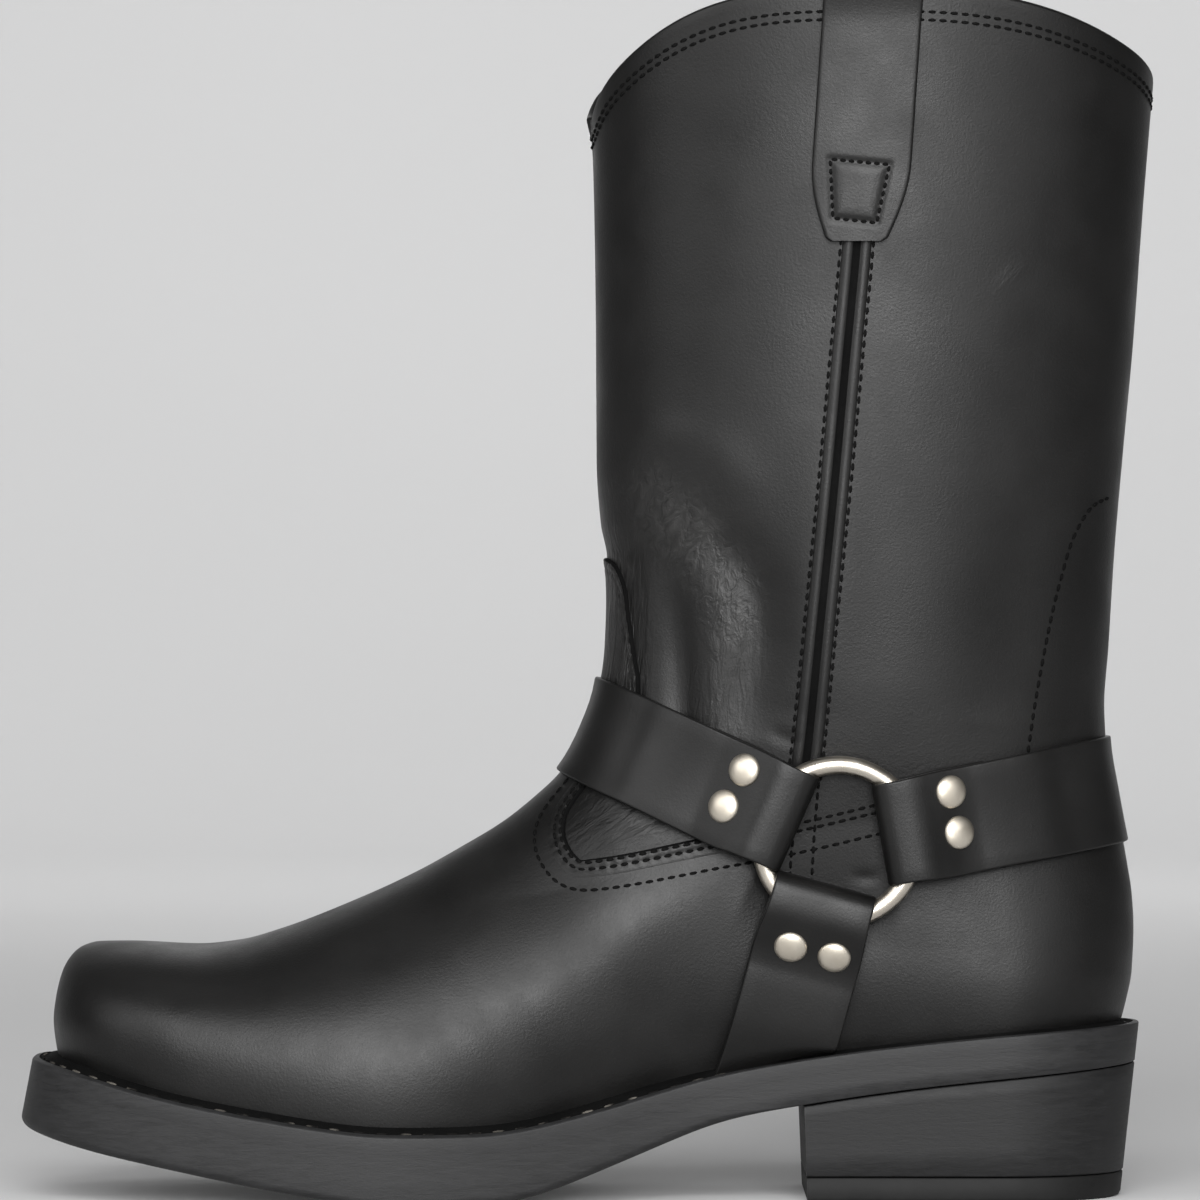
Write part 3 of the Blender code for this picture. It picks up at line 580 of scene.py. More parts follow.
class NodeSheet:
    """Node tree of one finish, with short calls for the nodes that it uses."""

    def __init__(self, name: str) -> None:
        """Starts a material with its shader and Object coordinates."""
        self.material = bpy.data.materials.new(name)
        self.material.use_nodes = True
        self.tree = self.material.node_tree
        self.shader = self.tree.nodes["Principled BSDF"]
        self.place = self.tree.nodes.new("ShaderNodeTexCoord").outputs["Object"]

    def feed(self, socket: Socket, value: Socket | float | Sequence[float]) -> None:
        """Joins a source to a socket, or sets the socket to a plain value."""
        if isinstance(value, Socket):
            self.tree.links.new(value, socket)
        else:
            socket.default_value = value

    def put(self, node: bpy.types.Node, values: dict[str, Socket | float | Sequence[float]]) -> None:
        """Feeds a node's inputs; an underscore in a name stands for a space."""
        for name, value in values.items():
            self.feed(node.inputs[name.replace("_", " ")], value)

    def shade(self, **values: Socket | float | Sequence[float]) -> None:
        """Feeds the shader's own inputs."""
        self.put(self.shader, values)

    def node(self, kind: str, **values: Socket | float | Sequence[float]) -> bpy.types.Node:
        """New node of a kind, with its inputs fed."""
        node = self.tree.nodes.new(f"ShaderNode{kind}")
        self.put(node, values)
        return node

    def drawn_out(self, waves: Triple, lean: float) -> Socket:
        """Object coordinates leant over in the side view and stretched along the axes."""
        stretch = tuple(1 / wave for wave in waves)
        node = self.node("Mapping", Vector=self.place, Rotation=(0.0, lean, 0.0), Scale=stretch)
        node.vector_type = "TEXTURE"
        return node.outputs["Vector"]

    def attribute(self, name: str) -> Socket:
        """Value that the mesh carries under a name."""
        node = self.node("Attribute")
        node.attribute_name = name
        return node.outputs["Fac"]

    def noise(self, scale: float, detail: float = 3.0) -> Socket:
        """Cloudy pattern of so many waves in a metre."""
        return self.node("TexNoise", Vector=self.place, Scale=scale, Detail=detail).outputs["Fac"]

    def streaks(self, waves: Triple, detail: float, lean: float = 0.0, warp: float = 0.0) -> Socket:
        """Drawn-out pattern.

        Args:
            waves: Waves in a metre along each axis.
            detail: How many finer waves are added.
            lean: Turn of the pattern in the side view.
            warp: How far the streaks wander.

        Returns:
            Socket with the pattern's value.
        """
        stretched = self.drawn_out(waves, lean)
        node = self.node("TexNoise", Vector=stretched, Scale=1.0, Detail=detail, Distortion=warp)
        return node.outputs["Fac"]

    def pebbles(self, scale: float) -> Socket:
        """Rounded cells, so many in a metre."""
        node = self.node("TexVoronoi", Vector=self.place, Scale=scale)
        node.feature = "SMOOTH_F1"
        return node.outputs["Distance"]

    def range(self, source: Socket, low: float, high: float, to: Pair) -> Socket:
        """A value's range from low to high brought to another range, held at its ends."""
        ends = {"From_Min": low, "From_Max": high, "To_Min": to[0], "To_Max": to[1]}
        return self.node("MapRange", Value=source, **ends).outputs["Result"]

    def math(self, operation: str, *values: Socket | float) -> Socket:
        """Arithmetic on sources and plain numbers."""
        node = self.node("Math")
        node.operation = operation
        for socket, value in zip(node.inputs, values):
            self.feed(socket, value)
        return node.outputs["Value"]

    def product(self, a: Socket, b: Socket | float) -> Socket:
        """One value times another or times a number."""
        return self.math("MULTIPLY", a, b)

    def sum(self, a: Socket, b: Socket, weight: float) -> Socket:
        """First value plus a weight of the second."""
        return self.math("MULTIPLY_ADD", b, weight, a)

    def colours(self, source: Socket, *stops: tuple[float, Triple]) -> Socket:
        """Colour read from a value between stops of (value, colour)."""
        node = self.node("ValToRGB", Fac=source)
        elements = node.color_ramp.elements
        while len(elements) < len(stops):
            elements.new(0.5)
        for element, (position, colour) in zip(elements, stops):
            element.position = position
            element.color = (*colour, 1.0)
        return node.outputs["Color"]

    def bump(self, height: Socket, depth: float) -> None:
        """Relief on the shader, of so many millimetres for a height of 1."""
        node = self.node("Bump", Strength=1.0, Distance=depth * MM, Height=height)
        self.shade(Normal=node.outputs["Normal"])


@dataclass(frozen=True)
class Wrinkles:
    """Fine wrinkles of the leather, where an attribute of the mesh lets them show."""

    attribute: str
    depth: float
    waves: Triple
    lean: float = 0.0
    warp: float = 0.5
    paling: float = 0.0
    detail: float = 4.0

    def shown(self, sheet: NodeSheet) -> Socket:
        """The wrinkles' pattern, where the attribute lets it show."""
        lines = sheet.streaks(self.waves, self.detail, self.lean, self.warp)
        return sheet.product(lines, sheet.attribute(self.attribute))


@dataclass(frozen=True)
class Leather:
    """Dyed and oiled leather with a fine pebbled grain."""

    name: str
    deep: Triple
    worn: Triple
    gloss: Pair
    shine: float = 0.3
    pale: Triple = (0.022, 0.0215, 0.021)
    grain_scale: float = 1500.0
    grain_depth: float = 0.035
    wrinkles: tuple[Wrinkles, ...] = ()
    cloud_scale: float = 28.0
    patch_scale: float = 60.0
    swell_scale: float = 120.0
    colour_stops: Triple = (0.35, 0.72, 1.0)
    patch_range: Pair = (0.45, 0.9)
    patch_grain: float = 0.35
    fine_grain: float = 2.2
    pebble_share: float = 0.9
    swell_share: float = 0.6

    def material(self) -> bpy.types.Material:
        """Builds the finish."""
        sheet = NodeSheet(self.name)
        cloud = sheet.noise(self.cloud_scale, 5.0)
        for fold in self.wrinkles:
            cloud = sheet.sum(cloud, fold.shown(sheet), fold.paling)
        stops = zip(self.colour_stops, (self.deep, self.worn, self.pale))
        sheet.shade(Base_Color=sheet.colours(cloud, *stops))
        sheet.shade(Specular_IOR_Level=self.shine)
        grain = sheet.noise(self.grain_scale, 2.0)
        patch = sheet.sum(sheet.noise(self.patch_scale, 4.0), grain, self.patch_grain)
        sheet.shade(Roughness=sheet.range(patch, *self.patch_range, self.gloss))
        sheet.bump(self.relief(sheet), 1.0)
        return sheet.material

    def relief(self, sheet: NodeSheet) -> Socket:
        """Height of grain and wrinkles in millimetres."""
        fine = sheet.noise(self.grain_scale * self.fine_grain, 3.0)
        grain = sheet.sum(fine, sheet.pebbles(self.grain_scale), self.pebble_share)
        swell = sheet.noise(self.swell_scale, 2.0)
        height = sheet.product(sheet.sum(grain, swell, self.swell_share), self.grain_depth)
        for fold in self.wrinkles:
            height = sheet.sum(height, fold.shown(sheet), fold.depth)
        return height


@dataclass(frozen=True)
class StackedEdge:
    """Dyed and waxed edge of stacked leather, with streaks that run along the layers."""

    name: str
    deep: Triple
    worn: Triple
    gloss: Pair
    streak_depth: float = 0.06
    shine: float = 0.32
    streak_waves: Triple = (110.0, 110.0, 700.0)
    fibre_waves: Triple = (500.0, 500.0, 1900.0)
    fibre_share: float = 0.6
    wander: Pair = (0.8, 1.0)
    grain_scale: float = 500.0
    grain_share: float = 0.25
    colour_stops: Pair = (0.55, 1.0)
    layer_range: Pair = (0.5, 1.1)

    def material(self) -> bpy.types.Material:
        """Builds the finish."""
        sheet = NodeSheet(self.name)
        streak = sheet.streaks(self.streak_waves, 5.0, warp=self.wander[0])
        fibre = sheet.streaks(self.fibre_waves, 3.0, warp=self.wander[1])
        layers = sheet.sum(streak, fibre, self.fibre_share)
        colour = sheet.colours(layers, *zip(self.colour_stops, (self.deep, self.worn)))
        sheet.shade(Base_Color=colour)
        sheet.shade(Roughness=sheet.range(layers, *self.layer_range, self.gloss))
        grain = sheet.noise(self.grain_scale, 3.0)
        sheet.bump(sheet.sum(layers, grain, self.grain_share), self.streak_depth)
        sheet.shade(Specular_IOR_Level=self.shine)
        return sheet.material


@dataclass(frozen=True)
class Thread:
    """Waxed sewing thread."""

    name: str
    colour: Triple
    worn: Triple
    twist: float = 1500.0
    contrast: Pair = (0.3, 0.8)
    shine: float = 0.08
    roughness: float = 0.75
    twist_depth: float = 0.08

    def material(self) -> bpy.types.Material:
        """Builds the finish."""
        sheet = NodeSheet(self.name)
        twist = sheet.noise(self.twist, 2.0)
        stops = tuple(zip(self.contrast, (self.colour, self.worn)))
        sheet.shade(Base_Color=sheet.colours(twist, *stops))
        sheet.bump(twist, self.twist_depth)
        sheet.shade(Roughness=self.roughness, Specular_IOR_Level=self.shine)
        return sheet.material


@dataclass(frozen=True)
class Nickel:
    """Warm nickel plate with a soft, lightly worn polish."""

    name: str
    colour: Triple
    worn: Triple
    gloss: Pair
    cloud_scale: float = 160.0
    colour_stops: Pair = (0.35, 0.75)
    patch_scale: float = 240.0
    patch_range: Pair = (0.3, 0.7)
    dent_scale: float = 450.0
    dent_depth: float = 0.0025

    def material(self) -> bpy.types.Material:
        """Builds the finish."""
        sheet = NodeSheet(self.name)
        cloud = sheet.noise(self.cloud_scale, 4.0)
        colour = sheet.colours(cloud, *zip(self.colour_stops, (self.colour, self.worn)))
        sheet.shade(Base_Color=colour)
        patch = sheet.noise(self.patch_scale, 3.0)
        sheet.shade(Roughness=sheet.range(patch, *self.patch_range, self.gloss))
        sheet.bump(sheet.noise(self.dent_scale, 2.0), self.dent_depth)
        sheet.shade(Metallic=1.0)
        return sheet.material


@dataclass(frozen=True)
class Plain:
    """Matt finish with a soft mottle: rubber, lining or bare leather."""

    name: str
    deep: Triple
    worn: Triple
    roughness: float
    grain_scale: float = 700.0
    grain_depth: float = 0.06
    shine: float = 0.4
    cloud_scale: float = 45.0
    grain_share: float = 0.4
    colour_stops: Pair = (0.5, 0.95)

    def material(self) -> bpy.types.Material:
        """Builds the finish."""
        sheet = NodeSheet(self.name)
        grain = sheet.noise(self.grain_scale, 3.0)
        cloud = sheet.sum(sheet.noise(self.cloud_scale, 5.0), grain, self.grain_share)
        colour = sheet.colours(cloud, *zip(self.colour_stops, (self.deep, self.worn)))
        sheet.shade(Base_Color=colour)
        sheet.bump(sheet.noise(self.grain_scale, 4.0), self.grain_depth)
        sheet.shade(Roughness=self.roughness, Specular_IOR_Level=self.shine)
        return sheet.material


class Finishes:
    """Every finish of the boot, built once."""

    def __init__(self) -> None:
        """Builds the finishes."""
        self.upper = Leather(
            "oiled_black_leather",
            (0.0032, 0.0031, 0.003),
            (0.007, 0.0068, 0.0066),
            (0.36, 0.5),
            wrinkles=(
                Wrinkles("ankle_mottle", 0.6, (290.0, 290.0, 200.0), 0.5, 1.3, 0.7),
                Wrinkles("ankle_wrinkles", 0.5, (400.0, 400.0, 110.0), 0.06, 1.0, 0.35),
                Wrinkles("tongue_wrinkles", 2.2, (420.0, 420.0, 75.0), 0.12, 0.8, 0.5),
                Wrinkles("scuffs", 0.2, (900.0, 900.0, 160.0), 0.8, 0.4, 0.2),
                Wrinkles("throat_wrinkles", 1.2, (70.0, 300.0, 330.0), -0.55),
            ),
        ).material()
        self.strap = Leather(
            "harness_black_leather",
            (0.0035, 0.0034, 0.0033),
            (0.007, 0.0068, 0.0066),
            (0.38, 0.48),
            grain_depth=0.025,
        ).material()
        self.edge = StackedEdge(
            "waxed_sole_edge",
            (0.008, 0.008, 0.0083),
            (0.017, 0.017, 0.0176),
            (0.5, 0.64),
        ).material()
        self.heel = StackedEdge(
            "waxed_heel_edge",
            (0.005, 0.005, 0.0052),
            (0.011, 0.011, 0.0114),
            (0.54, 0.68),
        ).material()
        # Near-black matt finish: real ink on the vamp's cut edge, and painted shade in the seam groove, the
        # welt groove and the gap along the cut edge.
        self.ink = Plain(
            "inked_edge",
            (0.0015, 0.0015, 0.0015),
            (0.004, 0.004, 0.004),
            0.85,
            shine=0.06,
        ).material()
        self.thread = Thread(
            "black_thread",
            (0.0012, 0.0012, 0.0012),
            (0.004, 0.0039, 0.0038),
        ).material()
        self.welt_thread = Thread(
            "welt_thread",
            (0.006, 0.0057, 0.0053),
            (0.13, 0.12, 0.105),
            twist=130.0,
            contrast=(0.48, 0.68),
        ).material()
        self.nickel = Nickel(
            "warm_nickel",
            (0.62, 0.575, 0.5),
            (0.54, 0.49, 0.42),
            (0.26, 0.38),
        ).material()
        self.rivet = Nickel(
            "satin_nickel",
            (0.66, 0.61, 0.525),
            (0.59, 0.535, 0.45),
            (0.4, 0.48),
        ).material()
        self.lining = Plain("tan_lining", (0.11, 0.07, 0.042), (0.155, 0.1, 0.063), 0.75).material()
        self.insole = Plain("insole_leather_face", (0.17, 0.115, 0.07), (0.22, 0.155, 0.1), 0.7).material()
        self.rubber = Plain(
            "lift_rubber_face",
            (0.005, 0.005, 0.005),
            (0.01, 0.01, 0.01),
            0.68,
            grain_scale=400.0,
            grain_depth=0.04,
            shine=0.25,
        ).material()


@dataclass(frozen=True)
class Crease:
    """Soft trough (below zero) or ridge of the leather, along a line of the side view."""

    height: float
    width: float
    line: tuple[Pair, ...]
    sides: tuple[Side, ...] = (Side.OUTER, Side.INNER)
    END: ClassVar[float] = 0.02
    TAPER: ClassVar[float] = 0.7
    STEP: ClassVar[float] = 1 / 3
    REACH: ClassVar[float] = 3.0

    def relief(self, x: Array, z: Array) -> Array:
        """Height added at places of the side view.

        Args:
            x: Places along the boot.
            z: Their heights.

        Returns:
            Height for each place, in millimetres.
        """
        path = smooth_line(self.line, self.width * self.STEP)
        near = np.flatnonzero(self.nearby(x, z, path))
        places = np.column_stack((x[near], z[near]))
        distance = np.full(len(near), np.inf)
        share = np.zeros(len(near))
        for i, (start, stop) in enumerate(zip(path, path[1:])):
            run = stop - start
            t = np.clip((places - start) @ run / (run @ run), 0.0, 1.0)
            gap = np.linalg.norm(places - start - t[:, None] * run, axis=1)
            closer = gap < distance
            distance[closer] = gap[closer]
            share[closer] = (i + t[closer]) / (len(path) - 1)
        height = np.zeros(x.shape)
        taper = np.sin(np.pi * np.clip(share, self.END, 1 - self.END)) ** self.TAPER
        height[near] = self.height * taper * np.exp(-((distance / self.width) ** 2))
        return height

    def nearby(self, x: Array, z: Array, path: Array) -> Array:
        """Which places can feel the crease at all."""
        low = path.min(axis=0) - self.REACH * self.width
        high = path.max(axis=0) + self.REACH * self.width
        return (x > low[0]) & (x < high[0]) & (z > low[1]) & (z < high[1])


CREASES = {
    "tongue_ridge": Crease(1.4, 4.6, ((16.0, 176.0), (17.0, 162.0), (17.5, 146.0), (18.0, 112.0))),
    "tongue_trough": Crease(-1.3, 3.6, ((23.0, 168.0), (24.5, 154.0), (26.0, 112.0))),
    "ankle_ridge": Crease(0.5, 4.0, ((30.0, 168.0), (33.0, 150.0), (33.0, 124.0))),
    "ankle_trough": Crease(
        -2.4,
        7.6,
        ((26.0, 190.0), (35.0, 179.0), (44.0, 167.0), (46.5, 153.0), (44.5, 138.0), (42.0, 124.0)),
    ),
    "seam_bulge": Crease(
        1.3,
        11.0,
        ((66.0, 215.0), (65.0, 190.0), (63.5, 170.0), (61.0, 150.0), (58.0, 131.0)),
    ),
    "heel_hollow": Crease(-1.6, 14.0, ((122.0, 190.0), (117.0, 168.0), (114.0, 146.0), (113.0, 128.0))),
    "ring_hollow": Crease(-1.5, 13.0, ((44.0, 88.0), (58.0, 82.0), (70.0, 80.0), (84.0, 82.0))),
    "vamp_ridge": Crease(1.45, 13.0, ((-30.0, 53.0), (-14.0, 61.0), (3.0, 71.0), (30.0, 87.0), (48.0, 97.0))),
    "shaft_fold": Crease(0.6, 6.0, ((8.0, 200.0), (20.0, 206.0), (33.0, 204.0), (46.0, 190.0))),
    "tongue_top_fold": Crease(-0.4, 4.0, ((9.0, 188.0), (15.0, 182.0), (20.0, 172.0))),
    "throat_trough": Crease(-0.35, 4.0, ((24.0, 107.0), (14.0, 103.0), (4.0, 100.0))),
    "throat_ridge": Crease(0.35, 3.2, ((22.0, 102.0), (13.0, 98.5), (5.0, 97.0))),
    "seam_pinch": Crease(-0.4, 1.8, ((49.0, 127.5), (53.0, 125.5), (58.0, 124.0))),
    "ring_pinch": Crease(-0.35, 1.7, ((71.5, 88.6), (75.0, 87.6), (79.0, 88.6))),
    "collar_ear": Crease(1.8, 6.0, ((7.0, 313.0), (3.5, 307.0), (1.5, 299.0), (1.2, 288.0)), (Side.INNER,)),
}

WRINKLE_ZONES = {
    "ankle_mottle": Crease(
        1.0,
        10.0,
        ((8.0, 202.0), (20.0, 188.0), (31.0, 176.0), (38.0, 163.0), (40.0, 148.0)),
    ),
    "ankle_wrinkles": Crease(
        1.0,
        7.5,
        ((29.0, 180.0), (36.5, 166.0), (39.0, 152.0), (36.0, 138.0), (32.0, 112.0)),
    ),
    "throat_wrinkles": Crease(1.0, 8.0, ((-8.0, 99.0), (4.0, 101.0), (14.0, 103.0), (32.0, 108.0))),
    "tongue_wrinkles": Crease(
        1.0,
        5.0,
        ((8.0, 182.0), (9.5, 160.0), (10.5, 146.0), (8.0, 132.0), (0.0, 112.0)),
    ),
    "scuffs": Crease(1.0, 2.2, ((109.0, 245.0), (114.0, 250.0), (119.0, 254.0))),
}


@dataclass(frozen=True)
class VampEdge:
    """Upper edge of the vamp: from the ring forward to a corner, up the tongue and down the far side."""

    thick: float = 0.85
    spacing: float = 0.4
    layer_step: Pair = (0.8, 4.4)
    # Cut-edge strips in the near-black ink: partly the edge's own ink, partly painted shade of the gap beside
    # the edge.
    inked: range = range(3)
    rows: Pair = (1.15, 3.2)
    fade_x: Pair = (40.0, 55.0)
    sewn_to: float = 122.0
    thread_rise: float = 0.9
    evenings: int = 3
    profile: tuple[Pair, ...] = (
        (0.0, -0.3), (0.06, 0.62), (0.3, 0.9), (0.7, 1.0), (1.15, 0.86), (1.6, 1.03), (2.2, 1.08),
        (2.75, 1.03), (3.2, 0.88), (3.65, 1.0), (4.3, 0.98), (5.0, 0.9), (5.8, 0.6),
    )
    side_line: tuple[Pair, ...] = (
        (84.0, 110.0), (76.2, 108.1), (58.2, 103.8), (46.6, 101.4), (33.1, 98.9), (23.9, 96.9),
        (13.4, 94.6), (5.0, 93.0), (-1.6, 92.0),
    )
    tongue_line: tuple[Pair, ...] = (
        (-1.6, 92.0), (-4.4, 95.0), (-6.0, 99.4), (-5.4, 104.0), (-1.0, 110.9), (7.0, 121.0),
        (13.2, 130.5), (15.2, 139.0), (13.5, 149.3), (11.8, 159.1), (10.6, 166.5),
    )
    tongue_top: tuple[Pair, ...] = ((13.0, 172.0), (7.0, 173.8), (0.0, 174.2))

    def line(self) -> Array:
        """Places along the whole edge, on the plain form of the upper."""
        low = [self.side(x, z) for x, z in self.side_line]
        tongue = [self.side(x, z) for x, z in self.tongue_line]
        tongue += [self.front(y, z) for y, z in self.tongue_top]
        mirror = np.array((1.0, -1.0, 1.0))
        tongue += [place * mirror for place in tongue[-2::-1]]
        side = smooth_line(low, self.spacing)
        middle = smooth_line(tongue, self.spacing)
        joined = np.concatenate((side, middle[1:-1], side[::-1] * mirror))
        return soften(joined, self.evenings)

    def sewn_parts(self) -> tuple[Array, Array]:
        """The edge on each side up to the tongue, where its sewing is lost in wrinkles."""
        line = self.line()
        low = line[:, 2] < self.sewn_to
        return line[low & (line[:, 1] < 0)], line[low & (line[:, 1] > 0)]

    def side(self, x: float, z: float) -> Array:
        """Place on the outer side at a point of the side view."""
        return np.array((x, float(FORM.wall_y(np.array(x), np.array(z), Side.OUTER)), z))

    def front(self, y: float, z: float) -> Array:
        """Place on the front of the shaft at a distance from its middle."""
        half = float(SHAFT.at("half_width", z))
        power = FORM.shaft_fullness
        share = 0.5 + 0.5 * (1 - (y / half) ** power) ** (1 / power)
        back = np.interp(z, FORM.back_zs, FORM.back_xs)
        front = np.interp(z, FORM.front_zs, FORM.front_xs)
        return np.array((mix(back, front, share), -y, z))

    def shown(self, places: Array) -> Array:
        """How much of the edge shows at places: none where it runs out under the ring."""
        return 1 - ease(*self.fade_x, places[:, 0])

    def layer(self, inside: Array | float) -> Array:
        """Height of the vamp's leather so far inside its edge."""
        return self.thick * ease(*self.layer_step, inside)

    def section(self) -> list[Pair]:
        """Section of the edge strip: a cut edge, two sewn hollows and a tail that ends in the layer."""
        return [(across, top - self.layer(across)) for across, top in self.profile]


class Skin:
    """Finished outer face of the upper, on which other pieces are laid."""

    RAY_FROM = 200.0
    SUNK = -0.35
    SPACING = 0.6
    EVENINGS = 4
    NORMAL_EVENINGS = 6

    def __init__(self, points: Array) -> None:
        """Keeps the face as a search tree; points are rows by columns by 3, closed round."""
        rows, columns = points.shape[:2]
        corners = np.arange(rows * columns).reshape(rows, columns)
        right = np.roll(corners, -1, axis=1)
        quads = np.stack((corners[:-1], right[:-1], right[1:], corners[1:]), axis=-1).reshape(-1, 4)
        self.points = points
        self.tree = BVHTree.FromPolygons(points.reshape(-1, 3).tolist(), quads.tolist())

    def snap(self, places: Array) -> tuple[Array, Array]:
        """Nearest places on the skin and the outward directions there."""
        found = [self.tree.find_nearest(Vector(place)) for place in places]
        inward = np.array([hit[1] for hit in found])
        return np.array([hit[0] for hit in found]), -inward

    def behind(self, line: Array, side: Side) -> Array:
        """Places of the skin that lie behind a line of the side view."""
        start = side * self.RAY_FROM
        hits = [self.tree.ray_cast(Vector((x, start, z)), Vector((0, -side, 0)))[0] for x, z in line]
        return np.array([hit for hit in hits if hit is not None])

    def frames(self, line: Array) -> tuple[Array, Array, Array, Array]:
        """Places, directions along, outward and across of a line laid on the skin."""
        places, normals = self.snap(line)
        normals = unit(soften(normals, self.NORMAL_EVENINGS))
        along = unit(np.gradient(places, axis=0))
        return places, along, normals, unit(np.cross(normals, along))

    def strip(self, line: Array, section: Sequence[Pair], rise: Array) -> Array:
        """Sections of a strip laid on the skin.

        Args:
            line: Places along the strip.
            section: (across, height) places of its closed section.
            rise: How much of the section's height shows at each place.

        Returns:
            Places as sections by places round by 3.
        """
        places, _, _, across = self.frames(line)
        offsets = np.array(section)
        spread = places[:, None] + across[:, None] * offsets[None, :, :1]
        flat, normals = self.snap(spread.reshape(-1, 3))
        heights = mix(self.SUNK, offsets[None, :, 1:], rise[:, None, None])
        return flat.reshape(spread.shape) + normals.reshape(spread.shape) * heights

    def beside(self, line: Array, offset: float) -> Array:
        """The same line moved across on the skin."""
        places, _, _, across = self.frames(line)
        moved, _ = self.snap(places + across * offset)
        return evenly(soften(moved, self.EVENINGS), self.SPACING)


class StitchWork:
    """Stitches of one thread, joined in one mesh."""

    SEGMENTS = 6
    RINGS = 4
    FILL = 0.74
    LIFT = 0.1
    FLATNESS = 0.75

    def __init__(self, skin: Skin | None, radius: float) -> None:
        """Starts with no stitches."""
        self.skin = skin
        self.radius = radius
        self.places: list[Array] = []
        bm = bmesh.new()
        bmesh.ops.create_uvsphere(bm, u_segments=self.SEGMENTS, v_segments=self.RINGS, radius=1.0)
        self.base = np.array([vert.co[:] for vert in bm.verts])[:, (2, 0, 1)]
        self.faces = [[vert.index for vert in face.verts] for face in bm.faces]
        bm.free()

    def row(self, line: Array, pitch: float, height: Array | float = LIFT) -> None:
        """Sews one row.

        Args:
            line: Places along the row.
            pitch: Distance from one stitch to the next.
            height: How far the thread's middle stands above the leather, at one or more even steps.
        """
        heights = np.atleast_1d(height)
        stops = evenly(line, pitch)
        middles = (stops[:-1] + stops[1:]) / 2
        shares = np.linspace(0.0, 1.0, len(middles))
        lift = np.interp(shares, np.linspace(0.0, 1.0, len(heights)), heights)
        places, along, normals, across = self.skin.frames(middles)
        self.add(places + normals * lift[:, None], along * pitch * self.FILL / 2, normals, across)

    def add(self, places: Array, reach: Array, normals: Array, across: Array) -> None:
        """Adds stitches by their middles, half lengths and directions."""
        base = self.base
        thread = (
            places[:, None]
            + reach[:, None] * base[None, :, :1]
            + across[:, None] * (base[None, :, 1:2] * self.radius)
            + normals[:, None] * (base[None, :, 2:] * self.radius * self.FLATNESS)
        )
        self.places.extend(thread)

    def mesh(self) -> bmesh.types.BMesh:
        """All stitches as one mesh."""
        firsts = range(0, len(self.places) * len(self.base), len(self.base))
        faces = [[first + corner for corner in face] for first in firsts for face in self.faces]
        joined = bpy.data.meshes.new("stitches")
        joined.from_pydata(np.concatenate(self.places).tolist(), [], faces)
        bm = bmesh.new()
        bm.from_mesh(joined)
        bpy.data.meshes.remove(joined)
        bmesh.ops.recalc_face_normals(bm, faces=bm.faces)
        return bm


SIDE_SEAM = (
    (73.0, 266.0), (72.5, 259.3), (69.5, 227.1), (66.5, 194.3), (62.8, 157.2), (59.2, 120.9),
    (58.4, 114.0),
)

SEAM_SECTION = (
    (-4.1, -0.3), (-3.9, 0.1), (-3.4, 0.38), (-2.9, 0.56), (-2.4, 0.64), (-1.9, 0.62), (-1.4, 0.48),
    (-1.05, 0.3), (-0.85, 0.12), (0.85, 0.12), (1.05, 0.26), (1.4, 0.44), (1.9, 0.6), (2.4, 0.64),
    (2.9, 0.57), (3.4, 0.4), (3.9, 0.1), (4.1, -0.3),
)

SIDE_ROWS = (
    (
        (142.0, 190.5), (137.6, 188.4), (132.7, 181.6), (128.1, 168.0), (122.7, 143.6), (119.4, 123.3),
        (118.0, 112.0),
    ),
    ((62.4, 114.1), (61.3, 100.6), (60.3, 82.0)),
    ((55.9, 101.2), (55.1, 95.2), (54.6, 84.0)),
)


